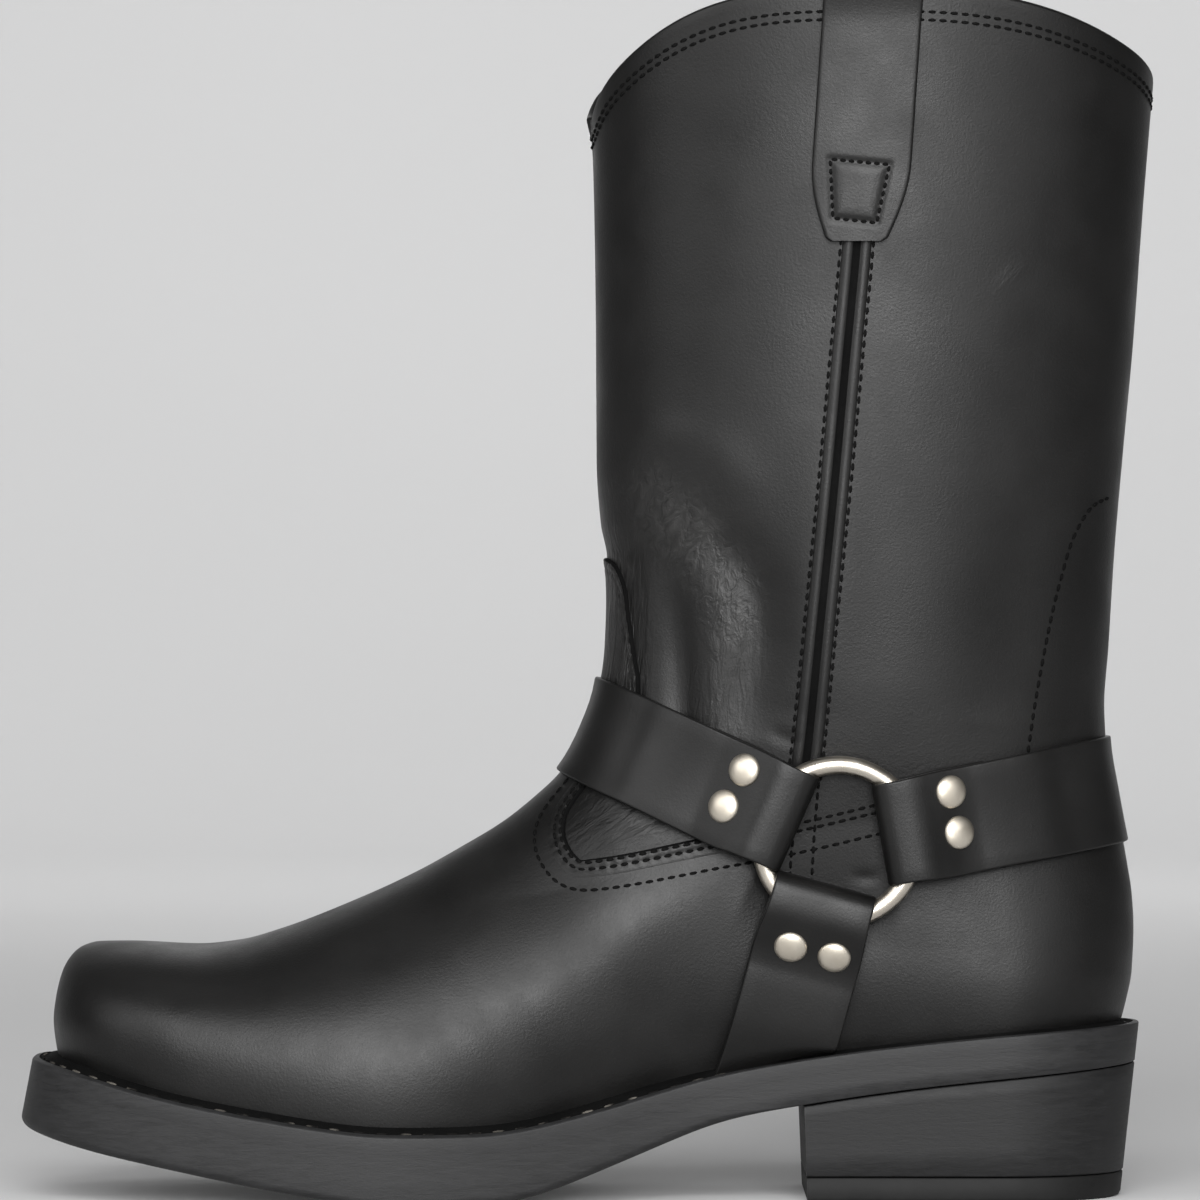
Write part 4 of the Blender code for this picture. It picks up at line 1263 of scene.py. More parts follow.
@dataclass
class Upper:
    """Vamp, counter and shaft as one leather wall with its lining, and the sewing on it."""

    columns: int = 352
    rows: int = 226
    row_spread: float = 1.15
    rim_rows: int = 7
    rim_flatness: float = 0.85
    lining_rows: int = 34
    facing_rows: int = 2
    dense: int = 3000
    tuck_fade: Pair = (-3.0, 0.0)
    front_reach: float = 25.0
    stitch_pitch: float = 3.0
    thread_radius: float = 0.52
    pucker: float = 0.1
    pucker_width: float = 0.6
    collar_rows: Pair = (5.4, 7.6)
    vamp_row_offset: float = 9.0
    seam_rows: Pair = (-4.4, 4.4)
    seam_foot: Pair = (114.0, 119.0)
    # Groove strips of the seam, in the near-black ink as painted shade.
    seam_inked: range = range(7, 10)
    seam_spacing: float = 1.0
    row_spacing: float = 0.6
    skin: Skin | None = field(default=None, init=False)

    def even_turns(self, row: float) -> Array:
        """Turns that part one row into even lengths."""
        half = (1 - np.cos(np.linspace(0.0, math.pi, self.dense // 2))) / 2
        turns = np.concatenate((half, 1 + half[1:]))
        reach = reach_along(FORM.upper_point(turns, np.full(turns.shape, row)))
        stops = np.linspace(0.0, reach[-1], self.columns + 1)[:-1]
        return np.interp(stops, reach, turns)

    def outer_face(self) -> tuple[Array, Array]:
        """Plain outer face and its outward directions, rows by columns by 3."""
        shares = np.linspace(0.0, 1.0, self.rows) ** self.row_spread
        points = []
        for row in shares:
            turns = self.even_turns(row)
            face = FORM.upper_point(turns, np.full(turns.shape, row))
            face[:, 2] += FORM.gap * (1 - row)
            points.append(face)
        face = np.array(points)
        around = np.roll(face, -1, axis=1) - np.roll(face, 1, axis=1)
        upward = np.gradient(face, axis=0)
        return face, unit(np.cross(upward, around))

    def relief(self, face: Array) -> Array:
        """Height of creases and of the vamp's layer at each place."""
        flat = face.reshape(-1, 3)
        height = np.zeros(len(flat))
        for crease in CREASES.values():
            for side in crease.sides:
                mine = flat[:, 1] * side > 0
                height[mine] += crease.relief(flat[mine, 0], flat[mine, 2])
        return (height + self.vamp_layer(flat) + self.tuck(flat)).reshape(face.shape[:2])

    def tuck(self, flat: Array) -> Array:
        """How far the leather draws in above the welt."""
        above = flat[:, 2] - SOLE.at("welt_top", flat[:, 0])
        share = np.clip(above / TUCK.at("height", flat[:, 0]), 0.0, 1.0)
        return -TUCK.at("depth", flat[:, 0]) * (1 - share) ** 2 * ease(*self.tuck_fade, above)

    def vamp_layer(self, flat: Array) -> Array:
        """Thickness of the vamp's leather on the shaft's, below its edge."""
        vamp = VampEdge()
        line = vamp.line()
        along = unit(np.gradient(line, axis=0))
        tree = KDTree(len(line))
        for i, place in enumerate(line):
            tree.insert(place, i)
        tree.balance()
        near = np.array([tree.find(place)[1] for place in flat])
        front = np.abs(flat[:, 1:2]) < self.front_reach
        outward = flat * np.array((0.0, 1.0, 0.0)) + np.array((-self.front_reach, 0.0, 0.0)) * front
        across = np.cross(unit(outward), along[near])
        inside = np.einsum("ij,ij->i", flat - line[near], unit(across))
        return vamp.layer(inside) * vamp.shown(flat)

    def build(self, finishes: Finishes) -> None:
        """Makes the leather wall: outer face, rolled rim and lining."""
        face, normals = self.outer_face()
        face = face + normals * self.relief(face)[..., None]
        self.skin = Skin(face)
        up = unit(face[-1] - face[-3])
        middle = face[-1] - normals[-1] * FORM.wall / 2
        rim = []
        for angle in np.linspace(0.0, math.pi, self.rim_rows + 2)[1:-1]:
            roll = normals[-1] * math.cos(angle) + up * math.sin(angle) * self.rim_flatness
            rim.append(middle + roll * FORM.wall / 2)
        picks = np.linspace(self.rows - 1, 0, self.lining_rows).round().astype(int)
        lining = face[picks] - normals[picks] * FORM.wall
        rows = np.concatenate((face, np.array(rim), lining))
        closed = np.concatenate((rows, rows[:, :1]), axis=1)
        bm = sheet_of(np.concatenate((closed, closed[:1])))
        inside_from = (self.rows + self.rim_rows + self.facing_rows) * self.columns
        for i, quad in enumerate(bm.faces):
            quad.material_index = int(i >= inside_from)
        self.mark_wrinkles(bm)
        bmesh.ops.remove_doubles(bm, verts=bm.verts, dist=WELD)
        bmesh.ops.recalc_face_normals(bm, faces=bm.faces)
        hand_over("upper_leather", bm, (finishes.upper, finishes.lining), ("upper",))

    def mark_wrinkles(self, bm: bmesh.types.BMesh) -> None:
        """Writes where the fine wrinkles show."""
        places = np.array([vert.co[:] for vert in bm.verts])
        for name, zone in WRINKLE_ZONES.items():
            layer = bm.verts.layers.float.new(name)
            for vert, value in zip(bm.verts, zone.relief(places[:, 0], places[:, 2])):
                vert[layer] = value

    def build_vamp_edge(self, finishes: Finishes) -> None:
        """Cut edge of the vamp, standing on the shaft's leather and puckered by its sewing."""
        vamp = VampEdge()
        line = vamp.line()
        rise = vamp.shown(line)
        section = vamp.section()
        sections = self.skin.strip(line, section, rise)
        pucker = self.pucker * rise * np.cos(2 * math.pi * reach_along(line) / self.stitch_pitch)
        _, _, normals, _ = self.skin.frames(line)
        for i, (across, _) in enumerate(section):
            near = max(math.exp(-(((across - row) / self.pucker_width) ** 2)) for row in vamp.rows)
            sections[:, i] += normals * (pucker * near)[:, None]
        # The cut edge takes the near-black ink, partly real edge ink and partly painted shade of the gap
        # along it.
        bm = loft_of(sections, vamp.inked)
        self.mark_wrinkles(bm)
        hand_over("vamp_edge", bm, (finishes.upper, finishes.ink))

    def seam_line(self, side: Side) -> Array:
        """Places along a side seam, from the pull loop down to the ring."""
        return self.skin.behind(smooth_line(SIDE_SEAM, self.seam_spacing), side)

    def build_side_seams(self, finishes: Finishes) -> None:
        """Piped side seams: two soft beads with a groove between them, painted near-black as shade."""
        for side in Side:
            section = [(-side * across, height) for across, height in SEAM_SECTION]
            line = self.seam_line(side)
            rise = ease(*self.seam_foot, line[:, 2])
            bm = loft_of(self.skin.strip(line, section, rise), self.seam_inked)
            name = f"side_seam_{side.label}"
            hand_over(name, bm, (finishes.upper, finishes.ink))

    def collar_line(self, depth: float) -> Array:
        """Line all round the shaft, so far below the collar's rim."""
        face = self.skin.points[::-1]
        steps = np.linalg.norm(np.diff(face, axis=0), axis=2)
        reach = np.concatenate((np.zeros((1, face.shape[1])), np.cumsum(steps, axis=0)))
        row = np.argmax(reach > depth, axis=0)
        columns = np.arange(face.shape[1])
        share = (depth - reach[row - 1, columns]) / (reach[row, columns] - reach[row - 1, columns])
        line = mix(face[row - 1, columns], face[row, columns], share[:, None])
        return np.concatenate((line, line[:1]))

    def build_stitches(self, finishes: Finishes) -> None:
        """Sews the collar, the vamp's edge, the side seams, the counters and the rows inside the rings."""
        work = StitchWork(self.skin, self.thread_radius)
        for depth in self.collar_rows:
            work.row(self.collar_line(depth), self.stitch_pitch)
        self.sew_vamp(work)
        for side in Side:
            seam = self.seam_line(side)
            for offset in self.seam_rows:
                work.row(self.skin.beside(seam, -side * offset), self.stitch_pitch)
            for line in SIDE_ROWS:
                work.row(self.skin.behind(smooth_line(line, self.row_spacing), side), self.stitch_pitch)
        hand_over("upper_stitches", work.mesh(), (finishes.thread,))

    def sew_vamp(self, work: StitchWork) -> None:
        """Sews two rows along the vamp's edge and one further down."""
        vamp = VampEdge()
        for edge in vamp.sewn_parts():
            shown = vamp.shown(edge)
            for offset in vamp.rows:
                height = work.LIFT + shown * (vamp.thread_rise - vamp.layer(offset))
                work.row(self.skin.beside(edge, offset), self.stitch_pitch, height)
            work.row(self.skin.beside(edge, self.vamp_row_offset), self.stitch_pitch)

    def dress(self, finishes: Finishes) -> None:
        """Builds the wall first and then what lies on it."""
        self.build(finishes)
        self.build_vamp_edge(finishes)
        self.build_side_seams(finishes)
        self.build_stitches(finishes)


@dataclass
class PullLoop:
    """Band sewn to the shaft, looped over the collar and sewn down inside."""

    side: Side
    thick: float = 2.2
    half: float = 13.2
    tip_half: float = 8.4
    top_x: float = 76.8
    lean: float = 0.068
    edge: float = 0.85
    across: int = 45
    swell: float = 0.2
    hollow: float = 0.4
    hollow_width: float = 0.9
    swell_width: float = 3.5
    tip_corner: float = 1.4
    stations: tuple[tuple[float, float, int], ...] = ((0.0, 1.2, 56), (1.2, 9.0, 96), (9.0, 11.0, 20))
    evenings: int = 10
    sewing: tuple[Pair, ...] = ((65.3, 280.9), (81.0, 279.4), (77.6, 263.8), (66.0, 265.1))
    stitch_pitch: float = 2.3
    thread_radius: float = 0.5
    thread_lift: float = 0.2

    @property
    def path(self) -> SizeTable:
        """Height off the wall, z and half-width along the band."""
        on = FORM.gap + self.thick / 2
        inside = -FORM.wall - on
        return SizeTable(
            "step height z half",
            (0, on, 259.0, self.tip_half - self.tip_corner),
            (0.05, on, 260.1, self.tip_half),
            (1, on, 280.0, self.half),
            (2, on, 302.0, self.half),
            (3, on, 318.0, self.half),
            (4, 3.4, 330.0, self.half),
            (5, 2.6, 337.5, self.half),
            (6, -1.2, 341.5, self.half),
            (7, -5.0, 337.5, self.half),
            (8, -5.8, 330.0, self.half),
            (9, inside, 318.0, self.half),
            (10, inside, 300.0, self.half),
            (11, inside, 278.0, self.half),
        )

    def sections(self) -> Array:
        """Sections along the band, from its tip on the shaft to its end inside."""
        path = self.path
        first, *others = [np.linspace(*part) for part in self.stations]
        stops = np.concatenate((first, *(part[1:] for part in others)))
        heights = soften(path.at("height", stops), self.evenings)
        zs = path.at("z", stops)
        runs = unit(np.column_stack((np.gradient(heights), np.gradient(zs))))
        rings = []
        for step, height, z, run in zip(stops, heights, zs, runs):
            rings.append(self.section(path.at("half", step), height, z, run))
        return np.array(rings)

    def section(self, half: float, height: float, z: float, run: Array) -> Array:
        """One section: a flat band with rounded edges."""
        outline = flat_section(float(half), self.thick, self.edge, self.across)
        wall_z = min(z, COLLAR_SIDE_Z)
        x = self.top_x - self.lean * (COLLAR_SIDE_Z - z) + outline[:, 0]
        if height > 0:
            outer = outline[:, 1] > 0
            outline[outer, 1] += self.sewn_relief(x[outer], z)
        normal = FORM.side_normal(x, np.full(x.shape, wall_z), self.side)
        middle = FORM.side_place(x, np.full(x.shape, wall_z), self.side, np.full(x.shape, height))
        middle[:, 2] += z - wall_z
        off = normal * run[1] - np.array((0.0, 0.0, run[0]))
        return middle + off * outline[:, 1:]

    def sewn_relief(self, x: Array, z: float) -> Array:
        """Hollow along the sewing and a slight swell of the leather inside it."""
        corners = np.array(self.sewing)
        distance = np.full(x.shape, np.inf)
        inside = np.ones(x.shape, dtype=bool)
        for start, stop in zip(corners, np.roll(corners, -1, axis=0)):
            run = stop - start
            share = np.clip(((x - start[0]) * run[0] + (z - start[1]) * run[1]) / (run @ run), 0.0, 1.0)
            gap = np.hypot(start[0] + share * run[0] - x, start[1] + share * run[1] - z)
            distance = np.minimum(distance, gap)
            inside &= (x - start[0]) * run[1] - (z - start[1]) * run[0] > 0
        swell = np.where(inside, self.swell * ease(0.0, self.swell_width, distance), 0.0)
        return swell - self.hollow * np.exp(-((distance / self.hollow_width) ** 2))

    def dress(self, finishes: Finishes) -> None:
        """Builds the band and sews its tip down."""
        name = self.side.label
        bm = loft_of(self.sections())
        hand_over(f"pull_loop_band_{name}", bm, (finishes.upper,), (f"pull_loop_{name}",))
        self.sew(finishes)

    def sew(self, finishes: Finishes) -> None:
        """Sews a four-sided row that tapers towards the band's tip."""
        corners = np.array((*self.sewing, self.sewing[0]))
        work = StitchWork(None, self.thread_radius)
        height = FORM.gap + self.thick - self.hollow + self.thread_lift
        for start, stop in zip(corners[:-1], corners[1:]):
            line = evenly(np.array((start, stop)), self.stitch_pitch)
            middles = (line[:-1] + line[1:]) / 2
            x, z = middles.T
            places = FORM.side_place(x, z, self.side, np.full(x.shape, height))
            normals = FORM.side_normal(x, z, self.side)
            flat = (stop - start) / np.linalg.norm(stop - start)
            along = np.broadcast_to(np.array((flat[0], 0.0, flat[1])), places.shape)
            along = unit(along - normals * np.einsum("ij,ij->i", along, normals)[:, None])
            work.add(places, along * self.stitch_pitch * work.FILL / 2, normals, np.cross(normals, along))
        name = f"pull_loop_stitches_{self.side.label}"
        hand_over(name, work.mesh(), (finishes.thread,))


@dataclass(frozen=True)
class StrapPlan:
    """How one strap leaves the ring: its angle, which way across runs, its lift over a hollow, its rivets."""

    name: str
    angle: float
    turn: int
    bridge: float
    rivets: tuple[Pair, ...]

    def directions(self) -> tuple[Array, Array]:
        """Directions along and across the strap in the side view."""
        angle = math.radians(self.angle)
        along = np.array((math.cos(angle), 0.0, math.sin(angle)))
        return along, np.array((-along[2], 0.0, along[0])) * self.turn


INSTEP = StrapPlan("instep", 156.0, -1, 0.9, ((30.5, 7.9), (31.6, -3.4)))
HEEL = StrapPlan("heel", 10.0, 1, 0.0, ((31.6, 8.6), (32.0, -2.9)))
ARCH = StrapPlan("arch", 254.5, 1, 0.0, ((30.5, -4.9), (30.0, 7.1)))
STRAP_PLANS = (INSTEP, HEEL, ARCH)


@dataclass
class Harness:
    """Three straps folded round a ring on each side, with their rivets."""

    strap: float = 2.4
    clear: float = 0.7
    half: float = 14.7
    fold_half: float = 13.8
    fold_chord: float = 12.6
    edge: float = 0.6
    ring_x: float = 67.4
    ring_z: float = 97.6
    ring_radius: float = 20.8
    wire: float = 5.0
    standoff: float = 5.9
    play: float = 0.3
    tail: float = 42.0
    release: float = 54.0
    release_drop: float = 0.45
    landing: float = 0.17
    smoothings: int = 40
    arch_tuck: float = 3.4
    slope: tuple[Pair, ...] = ((22.0, 9.8), (27.0, 7.7), (32.0, 5.7), (37.0, 4.75))
    flat_to: float = 22.0
    on_wall_from: float = 38.0
    fold_lines: tuple[float, ...] = (-1.0, -0.34, 0.34, 1.0)
    wrap_stations: int = 110
    rivet_radius: float = 4.5
    rivet_rise: float = 2.4
    rivet_steps: int = 32
    rivet_foot: float = 0.12
    rivet_edge: float = 0.1
    rivet_dome: float = 0.78
    rivet_dome_from: float = 0.16
    rivet_dome_steps: int = 11
    rivet_probe: float = 1.5
    wire_steps: int = 24
    ring_steps: int = 120
    tail_stops: Pair = (34.0, 28.0)
    fold_steps: int = 13
    fold_spacing: float = 0.9
    held_until: Pair = (37.0, 46.0)
    widening: Pair = (17.0, 32.0)
    row_span: Pair = (0.02, 0.95)
    arch_stations: int = 12
    arch_draw: Pair = (0.2, 1.0)

    def __post_init__(self) -> None:
        """Finds each ring's flat place."""
        self.planes = {side: self.plane(side) for side in Side}

    def plane(self, side: Side) -> tuple[Array, Array]:
        """Flat place of a ring, clear of the upper.

        Args:
            side: Side of the boot.

        Returns:
            The ring's centre and its outward direction.
        """
        rests = []
        swells = []
        for plan in STRAP_PLANS:
            along, across = plan.directions()
            rests.append(along * self.ring_radius)
            for line in self.fold_lines:
                b = line * self.fold_chord
                swells.append(along * math.sqrt(self.ring_radius ** 2 - b ** 2) + across * b)
        rests = self.on_wall(np.array(rests), side)
        normal = unit(np.cross(rests[1] - rests[0], rests[2] - rests[0]))
        normal = normal * (1 if normal[1] * side > 0 else -1)
        swell = np.max((self.on_wall(np.array(swells), side) - rests[0]) @ normal)
        middle = self.on_wall(np.zeros((1, 3)), side)[0]
        proud = (middle - rests[0]) @ normal
        return middle + normal * (self.standoff - proud + swell), normal

    def on_wall(self, flat: Array, side: Side) -> Array:
        """Places on the upper at side-view offsets from the ring's centre."""
        return FORM.side_place(self.ring_x + flat[:, 0], self.ring_z + flat[:, 2], side, np.zeros(len(flat)))

    def place(self, plan: StrapPlan, side: Side, a: Array, b: Array, height: Array) -> Array:
        """Places on a strap: flat at the ring, on the upper further out.

        Args:
            plan: The strap.
            side: Side of the boot.
            a: Distances along the strap from the ring's centre.
            b: Distances across it.
            height: Heights off the upper.

        Returns:
            One place for each a, b and height.
        """
        centre, axis = self.planes[side]
        along, across = plan.directions()
        flat = a[:, None] * along + b[:, None] * across
        in_plane = flat - axis * (flat @ axis)[:, None]
        at_ring = centre + in_plane + axis * (height - self.standoff)[:, None]
        on_wall = FORM.side_place(self.ring_x + flat[:, 0], self.ring_z + flat[:, 2], side, height)
        point = mix(at_ring, on_wall, ease(self.flat_to, self.on_wall_from, a)[:, None])
        normal = FORM.side_normal(point[:, 0], point[:, 2], side)
        wall = FORM.side_place(point[:, 0], point[:, 2], side, np.zeros(len(point)))
        short = height - np.einsum("ij,ij->i", point - wall, normal)
        return point + normal * np.maximum(short, 0.0)[:, None]

    def fold_line(self) -> Array:
        """(along, height) of a strap's middle from its tucked tail round the ring to its free run."""
        low = self.clear + self.strap / 2
        high = low + self.strap + FORM.gap
        reach = self.wire / 2 + self.play + self.strap / 2
        centre = math.sqrt(self.ring_radius ** 2 - self.fold_chord ** 2)
        tail = [(a, low) for a in (self.tail, *self.tail_stops)]
        tail.append((self.flat_to, self.standoff - reach))
        angles = np.linspace(0.0, math.pi, self.fold_steps)
        bend = [(centre - reach * math.sin(t), self.standoff - reach * math.cos(t)) for t in angles]
        over = [*self.slope, (self.tail, high)]
        end = [(self.release, mix(high, low, self.release_drop))]
        return smooth_line(tail + bend + over + end, self.fold_spacing)

    def outer_height(self, a: Array) -> Array:
        """Height of a strap's outer face so far from the ring's centre."""
        line = self.fold_line()
        over = line[int(np.argmin(line[:, 0])):]
        return np.interp(a, over[:, 0], over[:, 1]) + self.strap / 2

    def soft_run(self, sections: Array, held: Array) -> Array:
        """Sections evened along the strap.

        Args:
            sections: Places as sections by places round by 3.
            held: How firmly each section keeps its place, from 0 to 1.

        Returns:
            The evened sections.
        """
        keep = held[1:-1, None, None]
        for _ in range(self.smoothings):
            even = (sections[:-2] + 2 * sections[1:-1] + sections[2:]) / 4
            sections[1:-1] = mix(even, sections[1:-1], keep)
        return sections

    def held_fold(self) -> Array:
        """How firmly the sections of a fold keep their place: fully up to the rivets, then less."""
        line = self.fold_line()
        bend = int(np.argmin(line[:, 0]))
        held = 1 - ease(*self.held_until, line[:, 0])
        held[:bend] = 1.0
        return held

    def fold_sections(self, plan: StrapPlan, side: Side) -> Array:
        """Sections of a folded end, from its tail to where the strap lies on the upper."""
        line = self.fold_line()
        runs = unit(np.gradient(line, axis=0))
        rings = []
        for (a, height), run in zip(line, runs):
            half = mix(self.fold_half, self.half, ease(*self.widening, a))
            outline = flat_section(float(half), self.strap, self.edge)
            t = outline[:, 1]
            rings.append(self.place(plan, side, a - run[1] * t, outline[:, 0], height + run[0] * t))
        return np.array(rings)

    def offset(self, turn: Array, row: Array, axis: Array) -> Array:
        """How far places of the upper lie along an axis of the side view from the ring's centre."""
        turn = np.mod(turn, 2.0)
        x, z = FORM.upper_xz(1 - np.abs(1 - turn), row)
        return (x - self.ring_x) * axis[0] + (z - self.ring_z) * axis[2]

    def row_at(self, turn: Array, b: Array, across: Array) -> Array:
        """Rows at which lines b across a strap cross given turns."""
        low, high = (np.full(turn.shape, row) for row in self.row_span)
        return halve(low, high, lambda row: self.offset(turn, row, across) > b)

    def wrap_sections(self, plan: StrapPlan) -> Array:
        """Run of a strap round the front or the back, between its folded ends.

        Args:
            plan: The strap.

        Returns:
            Places as sections by places round by 3.
        """
        along, across = plan.directions()
        sign = 1 if along[0] < 0 else -1
        outline = flat_section(self.half, self.strap, self.edge)
        b = outline[:, 0]

        def released(turn: Array) -> Array:
            """Whether the strap's lines have left its folded end at these turns."""
            reached = self.offset(turn, self.row_at(turn, b, across), along)
            return sign * (reached - self.release) > 0

        start = halve(np.zeros(len(b)), np.ones(len(b)), released)
        stop = 2 - start if sign > 0 else -start
        rings = []
        for share in np.linspace(0.0, 1.0, self.wrap_stations + 1)[1:-1]:
            turn = mix(start, stop, share)
            row = self.row_at(turn, b, across)
            landing = 1 - ease(0.0, self.landing, min(share, 1 - share))
            layer = (self.strap + FORM.gap) * (1 - self.release_drop) * landing
            lift = self.clear + self.strap / 2 + layer + plan.bridge * math.sin(math.pi * share)
            height = lift + outline[:, 1]
            rings.append(FORM.upper_point(turn, row) + FORM.upper_normal(turn, row) * height[:, None])
        return np.array(rings)

    def arch_sections(self, side: Side) -> Array:
        """An arch strap: its fold and its run down to the welt.

        Args:
            side: Side of the boot.

        Returns:
            Places as sections by places round by 3.
        """
        fold = self.fold_sections(ARCH, side)
        outline = flat_section(self.half, self.strap, self.edge)
        along, across = ARCH.directions()

        def under_welt(a: Array) -> Array:
            """Whether the strap's lines are below the welt's top so far along."""
            flat = a[:, None] * along + outline[:, :1] * across
            welt = SOLE.at("welt_top", self.ring_x + flat[:, 0]) + 2 * FORM.gap
            return welt > self.ring_z + flat[:, 2]

        end = halve(np.full(len(outline), self.tail), np.full(len(outline), self.ring_z), under_welt)
        rings = []
        for share in np.linspace(0.0, 1.0, self.arch_stations)[1:]:
            layer = (self.strap + FORM.gap) * (1 - self.release_drop) * (1 - ease(0.0, 1.0, share))
            draw = self.arch_tuck * ease(*self.arch_draw, share)
            height = self.clear + self.strap / 2 + layer + outline[:, 1] - draw
            rings.append(self.place(ARCH, side, mix(self.release, end, share), outline[:, 0], height))
        held = np.concatenate((self.held_fold(), np.zeros(len(rings))))
        return self.soft_run(np.concatenate((fold, np.array(rings))), held)

    def dress_straps(self, finishes: Finishes) -> None:
        """Builds the four straps."""
        for plan in (INSTEP, HEEL):
            outer = self.fold_sections(plan, Side.OUTER)
            inner = self.fold_sections(plan, Side.INNER)[::-1]
            wrap = self.wrap_sections(plan)
            held = np.concatenate((self.held_fold(), np.zeros(len(wrap)), self.held_fold()[::-1]))
            sections = self.soft_run(np.concatenate((outer, wrap, inner)), held)
            node = f"{plan.name}_strap"
            hand_over(f"{node}_leather", loft_of(sections), (finishes.strap,), (node,))
        for side in Side:
            name = side.label
            bm = loft_of(self.arch_sections(side))
            node = f"arch_strap_{name}"
            hand_over(f"arch_leather_{name}", bm, (finishes.strap,), (node,))

    def dress_rings(self, finishes: Finishes) -> None:
        """Builds the rings: a round wire spun about the ring's axis."""
        upright = Vector((0, 1, 0)).to_track_quat("Z", "Y").to_matrix()
        for side in Side:
            centre, axis = self.planes[side]
            bm = bmesh.new()
            made = bmesh.ops.create_circle(bm, segments=self.wire_steps, radius=self.wire / 2)
            bmesh.ops.rotate(bm, verts=made["verts"], cent=(0, 0, 0), matrix=upright)
            bmesh.ops.translate(bm, verts=made["verts"], vec=(self.ring_radius, 0, 0))
            bmesh.ops.spin(
                bm,
                geom=bm.edges[:],
                cent=(0, 0, 0),
                axis=(0, 0, 1),
                angle=2 * math.pi,
                steps=self.ring_steps,
                use_merge=True,
            )
            self.set_on(bm, centre, axis)
            bmesh.ops.recalc_face_normals(bm, faces=bm.faces)
            node = f"ring_{side.label}"
            hand_over(f"{node}_nickel", bm, (finishes.nickel,), (node,))

    def set_on(self, bm: bmesh.types.BMesh, point: Array, axis: Array) -> None:
        """Turns a mesh drawn about +Z and sets it on a place."""
        turn = Vector(axis).to_track_quat("Z", "Y").to_matrix()
        bmesh.ops.rotate(bm, verts=bm.verts, cent=(0, 0, 0), matrix=turn)
        bmesh.ops.translate(bm, verts=bm.verts, vec=Vector(point))

    def rivet(self) -> bmesh.types.BMesh:
        """Domed head, spun from its half section."""
        section = [(1.0, -self.rivet_foot), (1.0, self.rivet_edge)]
        for angle in np.linspace(self.rivet_dome_from, math.pi / 2, self.rivet_dome_steps):
            section.append((math.cos(angle), self.rivet_edge + self.rivet_dome * math.sin(angle)))
        bm = bmesh.new()
        verts = [bm.verts.new((r * self.rivet_radius, 0.0, h * self.rivet_rise)) for r, h in section]
        edges = [bm.edges.new(pair) for pair in zip(verts, verts[1:])]
        bmesh.ops.spin(
            bm,
            geom=verts + edges,
            axis=(0, 0, 1),
            angle=2 * math.pi,
            steps=self.rivet_steps,
            use_merge=True,
        )
        bmesh.ops.remove_doubles(bm, verts=bm.verts, dist=WELD)
        bmesh.ops.holes_fill(bm, edges=[edge for edge in bm.edges if edge.is_boundary], sides=0)
        return bm

    def rivet_seat(self, plan: StrapPlan, side: Side, a: float, b: float) -> tuple[Array, Array]:
        """Place and outward direction of a rivet on a strap's outer layer."""
        step = self.rivet_probe
        spots = np.array(((a, b), (a + step, b), (a - step, b), (a, b + step), (a, b - step)))
        seat = self.place(plan, side, spots[:, 0], spots[:, 1], self.outer_height(spots[:, 0]))
        normal = unit(np.cross(seat[1] - seat[2], seat[3] - seat[4]))
        return seat[0], normal * (1 if normal[1] * side > 0 else -1)

    def dress_rivets(self, finishes: Finishes) -> None:
        """Builds the rivets of each side as one piece."""
        for side in Side:
            joined = bpy.data.meshes.new("rivets")
            bm = bmesh.new()
            nodes = []
            for plan in STRAP_PLANS:
                for number, (a, b) in enumerate(plan.rivets, start=1):
                    head = self.rivet()
                    self.set_on(head, *self.rivet_seat(plan, side, a, b))
                    head.to_mesh(joined)
                    head.free()
                    bm.from_mesh(joined)
                    nodes.append(f"rivet_{plan.name}_{side.label}_{number}")
            bpy.data.meshes.remove(joined)
            bmesh.ops.recalc_face_normals(bm, faces=bm.faces)
            hand_over(f"rivets_{side.label}", bm, (finishes.rivet,), nodes)

    def dress(self, finishes: Finishes) -> None:
        """Builds the straps, rings and rivets."""
        self.dress_straps(finishes)
        self.dress_rings(finishes)
        self.dress_rivets(finishes)


